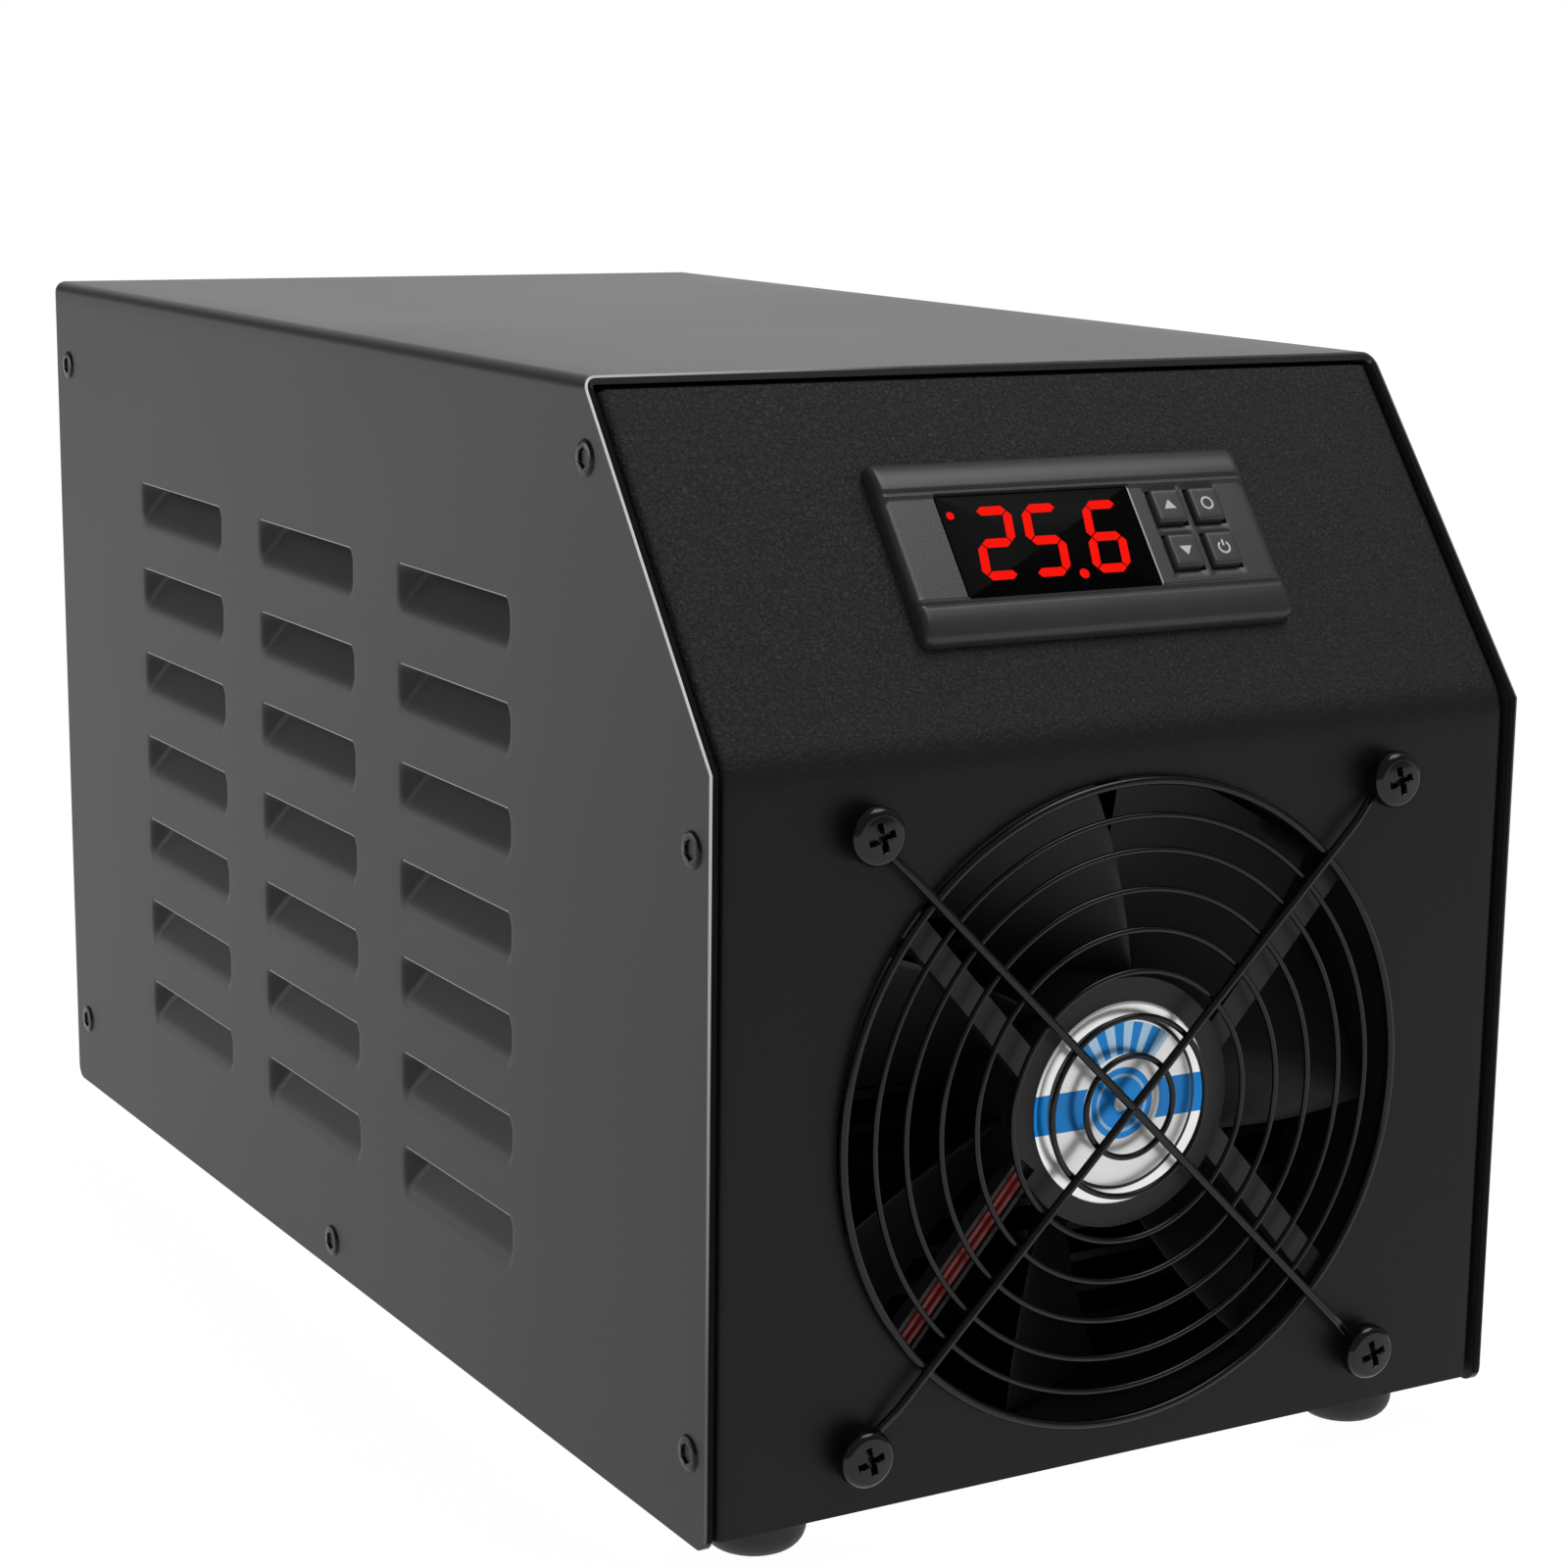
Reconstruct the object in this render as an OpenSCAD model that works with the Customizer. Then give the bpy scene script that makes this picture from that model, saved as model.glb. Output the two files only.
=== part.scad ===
// Thermoelectric aquarium chiller with a sloped control face, side louvres and a front fan.
// Frame: +Z up, the fan faces -Y, the hose barbs face +Y, Z = 0 is the table.

/* [Cabinet] */
// Width of the cover over both sides
cover_w = 163; // [158:1:175]
// Depth of the cover, front edge to rear edge
cover_d = 315; // [305:1:335]
// Height of the cover alone, without the feet
cover_h = 187; // [184:1:196]
// Height of the bend between the upright face and the slope
slope_foot = 129; // [128:0.5:132]
// How far the slope runs back to the top
slope_run = 45; // [42:0.5:48]
// Sheet thickness of the cabinet
sheet_t = 1.5; // [1.2:0.1:1.8]
// Outer bend radius of the cover's top edges
bend_r = 3.5; // [2.5:0.25:5]
// Corner radius at the bottom of the cover's sides
corner_r = 3; // [2:0.5:5]
// How far the front face sits back from the cover's rim
face_inset = 0.5; // [0.2:0.1:1]
// Height of the front panel's bottom edge above the cover's
sill_h = 1.5; // [1:0.25:2.5]
// Depth of the flanges that the side screws hold
flange_d = 12; // [10:0.5:14]
// Height of the base tray's side walls
tray_wall_h = 14; // [10:1:20]
// Gap between neighbouring sheets
sheet_gap = 0.3; // [0.2:0.05:0.5]
// Cover's front edge to the lower side screws
screw_in = 5.8; // [5:0.1:6.5]
// Height of the low side screws above the cover's bottom
screw_low_z = 15.7; // [14:0.1:17]

/* [Louvres] */
// Louvres along each side
louvre_cols = 3; // [2:1:3]
// Louvres up each side
louvre_rows = 7; // [4:1:7]
// Length of one louvre
louvre_w = 49; // [40:1:52]
// Height of one louvre
louvre_h = 10.3; // [8:0.1:12]
// How far a louvre is pressed in
louvre_depth = 4.6; // [3.5:0.1:5]
// Distance between louvre columns
louvre_pitch_y = 69.4; // [60:0.2:72]
// Distance between louvre rows
louvre_pitch_z = 18.5; // [15:0.1:19]
// Front edge of the cover to the middle of the first column
louvre_first_y = 96.9; // [94:0.1:105]
// Height of the top row's upper edge above the cover's bottom
louvre_top_z = 147; // [140:0.5:152]
// Corner radius at the lower corners of a louvre
louvre_corner_r = 4; // [2:0.5:5]

/* [Feet] */
// Height of a rubber foot
foot_h = 8; // [6:0.5:12]
// Diameter of a rubber foot
foot_dia = 18; // [14:0.5:20]
// Cover edge to the middle of a foot, along the depth
foot_in_y = 17; // [16.5:0.5:30]
// Middle plane to the middle of a foot
foot_x = 63; // [50:0.5:66]

/* [Fan] */
// Side of the square fan frame
fan_side = 120; // [119:0.5:122]
// Thickness of the fan frame
fan_depth = 25; // [24:0.5:27]
// Distance between neighbouring fan screws
fan_pitch = 105; // [104:0.5:106]
// Radius of the air opening in the front panel
fan_hole_r = 57; // [56:0.25:58]
// Radius of the fan's air duct
duct_r = 58.4; // [58:0.1:59]
// Radius of the fixed hub
hub_r = 22; // [20:0.25:24]
// Sideways place of the fan's axis
fan_x = -0.5; // [-2:0.25:2]
// Number of blades
blade_count = 7; // [5:1:9]
// Tip gap between blade and duct
tip_gap = 1.2; // [0.8:0.1:2]
// Number of guard rings
guard_rings = 8; // [6:1:8]
// Radius of the guard's outer ring, at the middle of the wire
guard_r = 56.4; // [55:0.2:57]
// Wire radius of the inner rings
ring_wire_r = 0.8; // [0.6:0.05:0.95]
// Wire radius of the outer ring and the spokes
spoke_wire_r = 1.1; // [1:0.05:1.3]

/* [Controller] */
// Width of the controller's face
ctrl_w = 75; // [74:0.5:77]
// Height of the controller's face
ctrl_h = 34.5; // [34:0.5:36]
// Width of the panel cut-out
ctrl_cut_w = 71; // [70.5:0.1:71.5]
// Height of the panel cut-out
ctrl_cut_h = 29; // [28.5:0.1:29.5]
// Depth of the housing behind the slope
ctrl_depth = 58; // [52:0.5:60]
// How far the face stands proud of the slope
ctrl_stand = 3.2; // [2.6:0.1:4]
// Distance up the slope to the middle of the controller
ctrl_u = 36; // [35:0.25:37]
// Sideways place of the controller's middle
ctrl_x = 1.5; // [-2:0.25:3]
// Width of the display window
window_w = 39; // [37:0.25:40]
// Height of the display window
window_h = 19.8; // [18:0.1:20.5]
// Button width
button_w = 6.2; // [5.8:0.1:6.4]
// Button height
button_h = 6.5; // [6:0.1:6.8]
// Gap around a button
button_gap = 0.3; // [0.2:0.05:0.4]
// How far a button stands out of the face
button_stand = 1.1; // [0.9:0.05:1.5]
// How far a button travels
button_travel = 0.6; // [0.3:0.05:0.8]

/* [Cooling stack] */
// Width of the heat sink
sink_w = 110; // [100:1:118]
// Height of the heat sink
sink_h = 94; // [86:1:96]
// Depth of the heat sink's fins
fin_depth = 50; // [45:0.5:55]
// Thickness of the heat sink's base
sink_base_t = 8; // [6:0.5:10]
// Number of fins
fin_count = 16; // [10:1:18]
// Thickness of one fin
fin_t = 1.6; // [1.2:0.1:2]
// Side of a square Peltier module
module_side = 40; // [40:0.5:41]
// Thickness of a Peltier module
module_t = 3.8; // [3.4:0.1:4.2]
// Width of the cold water block
block_w = 100; // [98:1:104]
// Height of the cold water block
block_h = 46; // [45:0.5:50]
// Thickness of the cold water block
block_t = 18; // [16:0.5:20]
// Wall of the insulating foam
foam_t = 10; // [8:0.5:11]

/* [Water] */
// Middle plane to either hose barb
barb_x = 32; // [30:0.5:36]
// Tip radius of the outer hose barb
barb_r = 5; // [4.5:0.1:6]
// Bore radius of the barbs
barb_bore_r = 3.2; // [2.8:0.1:3.4]
// How far a barb stands out of the cover's rear edge
barb_out = 24; // [20:0.5:30]
// Bore radius of the inner tubes
tube_bore_r = 4.3; // [4.2:0.05:4.6]
// Wall of the inner tubes
tube_wall = 1.5; // [1:0.1:2]

/* [Power] */
// Length of the power supply, across the cabinet
psu_w = 129; // [120:1:132]
// Depth of the power supply
psu_d = 97; // [90:1:98]
// Height of the power supply
psu_h = 30; // [28:0.5:40]
// Height of the shelf's top above the cover's bottom
shelf_z = 118; // [116:0.5:124]
// Sheet thickness of the shelf and the supply's case
thin_t = 1.2; // [1:0.1:1.5]
// Width of the mains inlet's flange
inlet_w = 50; // [49:0.5:52]
// Height of the mains inlet's flange
inlet_h = 58; // [57:0.5:60]
// Sideways place of the mains inlet
inlet_x = -34; // [-38:0.5:-30]
// Height of the mains inlet's middle above the cover's bottom
inlet_z = 118; // [116:0.5:124]
// Swing of the rocker switch to either side
rocker_swing = 9; // [6:0.5:10]

/* [Hidden] */
$fn = 48;
overrun = 1;
slide_gap = 0.15;
thread_gap = 0.05;
seat_gap = 0.05;

// The cabinet's own places, measured back from the cover's front edge and up from its bottom
tilt = 90 - atan2(cover_h - slope_foot, slope_run);
inner_x = cover_w / 2 - sheet_t;
panel_x = inner_x - sheet_gap;
panel_back_y = face_inset + sheet_t;
panel_top_z = cover_h - sheet_t - sheet_gap;
tray_z = sill_h + sheet_t;
tray_top_z = tray_z + sheet_t;
rear_y = cover_d - face_inset;
rear_in_y = rear_y - sheet_t;
lip_d = 7;
panel_bend_r = 2;
lip_x = panel_x - 2 * panel_bend_r;

// Fan screws and guard: the guard lies on the panel and the screw heads lie on its eyes
fan_screw_r = 2;
fan_head_r = 5;
fan_head_h = 3.2;
fan_z = tray_top_z + sheet_gap + fan_side / 2;
ring_y = face_inset - seat_gap - spoke_wire_r;
spoke_y = ring_y - ring_wire_r - spoke_wire_r * 0.6;
head_y = ring_y - spoke_wire_r - seat_gap;
fan_face_y = panel_back_y;
fan_back_y = fan_face_y + fan_depth;
fan_nut_h = 3.2;
sink_y = fan_back_y + fan_nut_h + 2 * overrun;

// The whole stands on its feet with the middle of its length at the origin
front_out = fan_head_h - head_y;
front_y = front_out - (front_out + cover_d + barb_out) / 2;

module placed() { translate([0, front_y, foot_h]) children(); }
module mirror_pair() { children(); mirror([1, 0, 0]) children(); }
module along_y(h, r) { rotate([-90, 0, 0]) cylinder(h = h, r = r); }
module along_x(h, r) { rotate([0, 90, 0]) cylinder(h = h, r = r); }
// A solid drawn in the Y-Z plane and carried from x0 along +X
module side_prism(x0, w) {
    translate([x0, 0, 0]) rotate([90, 0, 90]) linear_extrude(height = w) children();
}
// A solid drawn in the X-Z plane and carried back from y0
module front_prism(y0, d) {
    translate([0, y0 + d, 0]) rotate([90, 0, 0]) linear_extrude(height = d) children();
}
module block(x, y, z) {
    translate([x[0], y[0], z[0]]) cube([x[1] - x[0], y[1] - y[0], z[1] - z[0]]);
}
// A rectangle with round corners about its middle
module round_rect(w, h, r) {
    square([w - 2 * r, h], center = true);
    square([w, h - 2 * r], center = true);
    for (x = [-1, 1], y = [-1, 1]) translate([x * (w / 2 - r), y * (h / 2 - r)]) circle(r = r);
}
// The sliver that a rounded corner takes off, in the corner towards (+1, +1)
module corner_sliver(r) {
    difference() {
        square(r + seat_gap);
        circle(r = r);
    }
}

// Cover: an inverted U of sheet with a sloped front edge and pressed louvres
screw_r = 1.5;
screw_head_r = 3.2;
screw_head_h = 1.3;
screw_proud = 0.5;
screw_len = 7;
screw_back_in = 8;
screw_high_drop = 18.3;
screw_slope_drop = 13.1;
screw_bend_drop = 12.8;
side_screws = [
    [screw_in, screw_low_z],
    [screw_in, slope_foot - screw_bend_drop],
    [slope_run - sheet_t, cover_h - screw_slope_drop],
    [cover_d / 2, tray_z + screw_head_r],
    [cover_d - screw_back_in, cover_h - screw_high_drop],
    [cover_d - screw_back_in, screw_low_z]
];
louvre_wall = sheet_t * 0.8;
louvre_flat = louvre_h * 0.25;

module cover_outline() {
    difference() {
        polygon([[0, 0], [0, slope_foot], [slope_run, cover_h], [cover_d, cover_h], [cover_d, 0]]);
        translate([corner_r, corner_r]) rotate(180) corner_sliver(corner_r);
        translate([cover_d - corner_r, corner_r]) rotate(-90) corner_sliver(corner_r);
    }
}
module u_section(half_w, top, r) {
    difference() {
        translate([-half_w, -overrun]) square([2 * half_w, top + overrun]);
        translate([half_w - r, top - r]) corner_sliver(r);
        translate([r - half_w, top - r]) rotate(90) corner_sliver(r);
    }
}
// Outline of one louvre seen from the side, with its straight cut edge at height 0
module louvre_outline(w, h, r) {
    translate([-w / 2, r - h]) square([w, h - r]);
    translate([r - w / 2, -h]) square([w - 2 * r, h]);
    for (y = [-1, 1]) translate([y * (w / 2 - r), r - h]) circle(r = r);
}
// Each louvre is deepest at its cut edge and runs out into the sheet below
module louvre_cavity() {
    intersection() {
        side_prism(-overrun, louvre_depth + 2 * overrun)
            louvre_outline(louvre_w, louvre_h, louvre_corner_r);
        front_prism(-louvre_w, 2 * louvre_w)
            polygon([[-overrun, 0], [louvre_depth, 0], [louvre_depth, -louvre_flat],
                     [0, -louvre_h], [-overrun, -louvre_h]]);
    }
}
module louvre_pocket() {
    wide = louvre_w + 2 * louvre_wall;
    deep = louvre_depth + louvre_wall;
    low = -louvre_h - louvre_wall;
    intersection() {
        side_prism(sheet_t / 2, deep)
            louvre_outline(wide, louvre_h + louvre_wall, louvre_corner_r + louvre_wall);
        front_prism(-louvre_w, 2 * louvre_w)
            polygon([[0, 0], [deep, 0], [deep, -louvre_flat], [sheet_t, low], [0, low]]);
    }
}
module louvre_places() {
    mirror_pair() for (i = [0 : louvre_cols - 1], j = [0 : louvre_rows - 1])
        translate([-cover_w / 2, louvre_first_y + i * louvre_pitch_y, louvre_top_z - j * louvre_pitch_z])
            children();
}
module side_screw_places() {
    mirror_pair() for (p = side_screws) translate([-cover_w / 2, p[0], p[1]]) children();
}
// The one folded sheet; its top with both folds and its two sides are drawn as nodes of their own
module folded_sheet() {
    difference() {
        union() {
            intersection() {
                side_prism(-cover_w, 2 * cover_w) cover_outline();
                difference() {
                    front_prism(-overrun, cover_d + 2 * overrun)
                        u_section(cover_w / 2, cover_h, bend_r);
                    front_prism(-2 * overrun, cover_d + 4 * overrun)
                        u_section(inner_x, cover_h - sheet_t, bend_r - sheet_t);
                }
            }
            louvre_places() louvre_pocket();
        }
        louvre_places() louvre_cavity();
        side_screw_places() {
            along_x(sheet_t + overrun, screw_r + slide_gap);
            translate([-overrun, 0, 0])
                along_x(overrun + screw_head_h - screw_proud, screw_head_r + slide_gap);
        }
    }
}
fold_z = cover_h - bend_r;
module cover_top() {
    color([0.20, 0.20, 0.20]) placed() intersection() {
        folded_sheet();
        block([-cover_w, cover_w], [-cover_d, 2 * cover_d], [fold_z, 2 * cover_h]);
    }
}
module cover_side(s) {
    color([0.20, 0.20, 0.20]) placed() intersection() {
        folded_sheet();
        block([min(0, s * cover_w), max(0, s * cover_w)], [-cover_d, 2 * cover_d], [-cover_h, fold_z]);
    }
}
module cover_left() { cover_side(-1); }
module cover_right() { cover_side(1); }

// Black screws with a hexagon socket, six on each side
module cover_screws() {
    color([0.06, 0.06, 0.06]) placed() side_screw_places() difference() {
        union() {
            translate([-screw_proud, 0, 0]) rotate([0, 90, 0]) rotate_extrude()
                polygon([[0, 0], [screw_head_r - screw_proud, 0], [screw_head_r, screw_proud],
                         [screw_head_r, screw_head_h], [0, screw_head_h]]);
            along_x(screw_len, screw_r);
        }
        translate([-overrun, 0, 0]) rotate([0, 90, 0])
            cylinder(h = overrun + screw_head_h / 2, r = screw_r, $fn = 6);
    }
}

// Front panel: upright face and slope, folded back along both sides
module on_slope() { translate([0, face_inset, slope_foot]) rotate([-tilt, 0, 0]) children(); }
module channel(len) {
    linear_extrude(height = len) difference() {
        union() {
            translate([-panel_x, 0]) square([2 * panel_x, sheet_t]);
            for (s = [-1, 1]) translate([s * (panel_x - sheet_t / 2), flange_d / 2])
                square([sheet_t, flange_d], center = true);
        }
        for (s = [0, 1]) mirror([s, 0]) translate([panel_x - panel_bend_r, panel_bend_r])
            rotate(-90) corner_sliver(panel_bend_r);
    }
}
// The face's line seen from the side, moved in by d and lengthened by e at both ends
function face_line(d, e = 0) = [
    [face_inset + d, sill_h - e],
    [face_inset + d, slope_foot - d * tan(tilt / 2)],
    [face_inset + (panel_top_z + e - slope_foot) * tan(tilt) + d / cos(tilt), panel_top_z + e]];
module face_band(d0, d1, e = 0) {
    far = face_line(d1, e);
    polygon(concat(face_line(d0, e), [far[2], far[1], far[0]]));
}
module front_shell() {
    difference() {
        side_prism(-panel_x, 2 * panel_x) face_band(0, flange_d);
        side_prism(sheet_t - panel_x, 2 * (panel_x - sheet_t))
            face_band(sheet_t, flange_d + overrun, overrun);
    }
    block([-lip_x, lip_x], [face_inset + sheet_t / 2, face_inset + lip_d], [sill_h, sill_h + sheet_t]);
}
module fan_corners() {
    translate([fan_x, 0, fan_z]) for (x = [-1, 1], z = [-1, 1])
        translate([x * fan_pitch / 2, 0, z * fan_pitch / 2]) children();
}
module front_panel() {
    color([0.13, 0.13, 0.14]) placed() difference() {
        front_shell();
        translate([fan_x, face_inset - overrun, fan_z]) along_y(sheet_t + 2 * overrun, fan_hole_r);
        fan_corners() translate([0, face_inset - overrun, 0])
            along_y(sheet_t + 2 * overrun, fan_screw_r + slide_gap);
        on_slope() translate([ctrl_x, 0, ctrl_u])
            cube([ctrl_cut_w + slide_gap, 4 * sheet_t, ctrl_cut_h + slide_gap], center = true);
        side_screw_places() along_x(screw_len + overrun, screw_r + thread_gap);
        rivet_places() cylinder(h = 4 * sheet_t, r = rivet_r + thread_gap, center = true);
    }
}

// Base tray: bottom sheet with side walls, on the lips of both panels
rivet_r = 1.6;
rivet_head_r = 2.6;
rivet_head_h = 0.7;
rivet_in = 15.5;
rivet_x = cover_w / 2 - rivet_in;
module rivet_places() {
    for (x = [-rivet_x, rivet_x], y = [face_inset + lip_d / 2 + sheet_t / 2,
                                      rear_y - lip_d / 2 - sheet_t / 2])
        translate([x, y, tray_z]) children();
}
module foot_places() {
    for (x = [-foot_x, foot_x], y = [foot_in_y, cover_d - foot_in_y]) translate([x, y, 0]) children();
}
foot_screw_r = 2;
foot_head_r = 3.8;
foot_nut_h = 3.2;
foot_seat_t = 3;
module base_tray() {
    wall_y = [face_inset + flange_d + sheet_gap, rear_y - flange_d - sheet_gap];
    color([0.62, 0.63, 0.64]) placed() difference() {
        union() {
            block([-panel_x, panel_x], [panel_back_y + sheet_gap, rear_in_y - sheet_gap],
                  [tray_z, tray_top_z]);
            mirror_pair() block([panel_x - sheet_t, panel_x], wall_y, [tray_z, tray_z + tray_wall_h]);
        }
        mirror_pair() for (y = [0, rear_y - flange_d - sheet_gap])
            block([panel_x - sheet_t - sheet_gap, cover_w], [y, y + flange_d + face_inset + sheet_gap],
                  [0, 2 * tray_z]);
        side_screw_places() along_x(screw_len + overrun, screw_r + thread_gap);
        rivet_places() cylinder(h = 4 * sheet_t, r = rivet_r + thread_gap, center = true);
        foot_places() translate([0, 0, sill_h]) cylinder(h = 4 * sheet_t, r = foot_screw_r + slide_gap);
        shelf_screw_places() cylinder(h = 4 * sheet_t, r = small_screw_r + thread_gap, center = true);
        bracket_screw_places() cylinder(h = 4 * sheet_t, r = small_screw_r + thread_gap, center = true);
    }
}
module panel_rivets() {
    color([0.7, 0.7, 0.72]) placed() rivet_places() {
        cylinder(h = 2 * (sheet_t + rivet_head_h) + 2 * seat_gap, r = rivet_r, center = true);
        for (s = [0, 1]) mirror([0, 0, s]) translate([0, 0, sheet_t + seat_gap])
            cylinder(h = rivet_head_h, r1 = rivet_head_r, r2 = rivet_r);
    }
}

// Feet: rubber domes with a flat end, a screw up through each and a nut on the tray
module feet() {
    flat_r = foot_dia * 0.3;
    color([0.05, 0.05, 0.05]) translate([0, front_y, 0]) foot_places() difference() {
        rotate_extrude() intersection() {
            union() {
                translate([0, foot_h / 2]) square([foot_dia / 2, foot_h / 2 + tray_z]);
                square([flat_r, foot_h]);
                translate([foot_dia / 2 - foot_h / 2, foot_h / 2]) circle(r = foot_h / 2);
            }
            square([foot_dia, foot_h + tray_z - seat_gap]);
        }
        translate([0, 0, -overrun]) cylinder(h = 2 * foot_h, r = foot_screw_r + slide_gap);
        translate([0, 0, -overrun])
            cylinder(h = overrun + foot_h - foot_seat_t, r = foot_head_r + slide_gap);
    }
}
module foot_screws() {
    color([0.7, 0.7, 0.72]) translate([0, front_y, foot_h - foot_seat_t]) foot_places() {
        translate([0, 0, -foot_seat_t]) difference() {
            cylinder(h = foot_seat_t - seat_gap, r = foot_head_r);
            for (a = [0, 90]) rotate(a) cube([foot_head_r, foot_seat_t / 4, foot_seat_t], center = true);
        }
        translate([0, 0, -foot_seat_t / 2])
            cylinder(h = foot_seat_t * 1.5 + tray_top_z + foot_nut_h, r = foot_screw_r);
    }
}
module nut(r, h, flat_r) {
    difference() {
        cylinder(h = h, r = flat_r / cos(30), $fn = 6);
        translate([0, 0, -overrun]) cylinder(h = h + 2 * overrun, r = r + thread_gap);
    }
}
foot_nut_r = 3.5;
module foot_nuts() {
    color([0.7, 0.7, 0.72]) placed() foot_places() translate([0, 0, tray_top_z + seat_gap])
        nut(foot_screw_r, foot_nut_h, foot_nut_r);
}

// Fan guard: rings of wire under two crossed spokes that end in eyes at the screws
ring_shares = [0.158, 0.28, 0.42, 0.547, 0.67, 0.79, 0.895, 1];
eye_r = fan_screw_r + spoke_wire_r + slide_gap;
module wire(r, half_len) {
    translate([0, 0, -half_len]) cylinder(h = 2 * half_len, r = r);
}
module fan_guard() {
    reach = fan_pitch / sqrt(2);
    ramp_in = reach - eye_r - 3 * spoke_wire_r;
    fall = ring_y - spoke_y;
    color([0.05, 0.05, 0.05]) placed() translate([fan_x, 0, fan_z]) {
        for (i = [0 : guard_rings - 1]) {
            outer = i == guard_rings - 1;
            translate([0, ring_y, 0]) rotate([-90, 0, 0]) rotate_extrude()
                translate([guard_r * ring_shares[i], 0]) circle(r = outer ? spoke_wire_r : ring_wire_r,
                                                                $fn = 24);
        }
        for (a = [45, 135]) rotate([0, a, 0]) translate([0, spoke_y, 0]) wire(spoke_wire_r, ramp_in);
        for (a = [45, 135, 225, 315]) rotate([0, a, 0]) {
            translate([0, spoke_y, ramp_in - spoke_wire_r * 0.3])
                rotate([-atan2(fall, 3.3 * spoke_wire_r), 0, 0])
                    cylinder(h = norm([fall, 3.3 * spoke_wire_r]), r = spoke_wire_r * 0.94);
            translate([0, ring_y, reach]) rotate([-90, 0, 0]) rotate_extrude()
                translate([eye_r, 0]) circle(r = spoke_wire_r, $fn = 24);
        }
    }
}
module fan_screws() {
    color([0.06, 0.06, 0.06]) placed() fan_corners() {
        difference() {
            translate([0, head_y - fan_head_h, 0]) rotate([-90, 0, 0]) rotate_extrude() intersection() {
                union() {
                    translate([0, fan_head_h / 3]) square([fan_head_r, fan_head_h]);
                    square([fan_head_r - fan_head_h / 3, fan_head_h]);
                    translate([fan_head_r - fan_head_h / 3, fan_head_h / 3]) circle(r = fan_head_h / 3);
                }
                square([fan_head_r, fan_head_h]);
            }
            for (a = [0, 90]) translate([0, head_y - fan_head_h, 0]) rotate([0, a, 0])
                cube([fan_head_r, fan_head_h, fan_head_r * 0.2], center = true);
        }
        translate([0, head_y - fan_head_h / 3, 0])
            along_y(fan_back_y + fan_nut_h + overrun - head_y + fan_head_h / 3, fan_screw_r);
    }
}
module fan_nuts() {
    color([0.7, 0.7, 0.72]) placed() fan_corners() translate([0, fan_back_y + seat_gap, 0])
        rotate([-90, 0, 0]) nut(fan_screw_r, fan_nut_h, foot_nut_r);
}

// Fan frame: two square flanges on a duct, with four struts to the fixed hub
flange_t = 4;
duct_wall = 1.4;
frame_corner_r = 5;
hub_t = 3;
post_r = 5.5;
bearing_r = 4;
bearing_h = 4;
shaft_r = 1.5;
strut_t = 3;
strut_w = 5;
strut_hub_angle = 24;
strut_rim_angle = 39.5;
strut_rim_share = 0.9;
rotor_gap = 1;
rotor_y = fan_face_y + hub_t + rotor_gap;
rotor_end_y = fan_back_y - sheet_gap;
cup_wall = 1.5;
post_len = bearing_h * 3.5;
lead_groove_w = strut_w * 0.7;
lead_run = duct_wall * 2.5;
lead_slot_r = 2.8;
module at_fan(y) { translate([fan_x, y, fan_z]) children(); }
function polar(r, a) = [r * cos(a), r * sin(a)];
strut_from = polar(hub_r * 0.93, strut_hub_angle);
strut_to = polar(duct_r * strut_rim_share, strut_rim_angle);
strut_dir = (strut_to - strut_from) / norm(strut_to - strut_from);
lead_slot = strut_to + strut_dir * duct_r * 0.196;
// One strut in the X-Z plane, from the hub out to the duct
module strut_bar(w, beyond = 0) {
    side = [-strut_dir[1], strut_dir[0]] * w / 2;
    far = strut_to + strut_dir * (duct_r - norm(strut_to) + duct_wall + beyond);
    polygon([strut_from + side, strut_from - side, far - side, far + side]);
}
module strut_places() {
    for (x = [0, 1], z = [0, 1]) mirror([x, 0, 0]) mirror([0, 0, z]) children();
}
module fan_frame() {
    color([0.07, 0.07, 0.07]) placed() difference() {
        union() {
            for (y = [fan_face_y, fan_back_y - flange_t]) at_fan(0)
                front_prism(y, flange_t) round_rect(fan_side, fan_side, frame_corner_r);
            at_fan(0) intersection() {
                translate([0, fan_face_y, 0]) along_y(fan_depth, duct_r + duct_wall);
                front_prism(fan_face_y, fan_depth) square(fan_side, center = true);
            }
        }
        difference() {
            at_fan(fan_face_y - overrun) along_y(fan_depth + 2 * overrun, duct_r);
            at_fan(fan_face_y) strut_places() front_prism(0, strut_t) strut_bar(strut_w);
            at_fan(fan_face_y) along_y(hub_t, hub_r);
            at_fan(fan_face_y + hub_t / 2) along_y(hub_t / 2 + post_len, post_r);
        }
        at_fan(fan_face_y - overrun) mirror([1, 0, 0]) mirror([0, 0, 1])
            front_prism(0, overrun + strut_t / 2) strut_bar(lead_groove_w, lead_run);
        for (p = [lead_slot, lead_slot - strut_dir * lead_slot_r / 2])
            at_fan(fan_face_y - overrun) translate([-p[0], 0, -p[1]])
                along_y(flange_t + 2 * overrun, lead_slot_r);
        at_fan(fan_face_y + hub_t) along_y(post_len + overrun, bearing_r + thread_gap);
        fan_corners() translate([0, fan_face_y - overrun, 0])
            along_y(fan_depth + 2 * overrun, fan_screw_r + slide_gap);
    }
}
label_r = hub_r * 0.81;
label_t = 0.2;
module fan_label() {
    color([0.75, 0.78, 0.82]) placed() at_fan(fan_face_y - label_t - seat_gap / 2)
        along_y(label_t, label_r);
}
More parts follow.
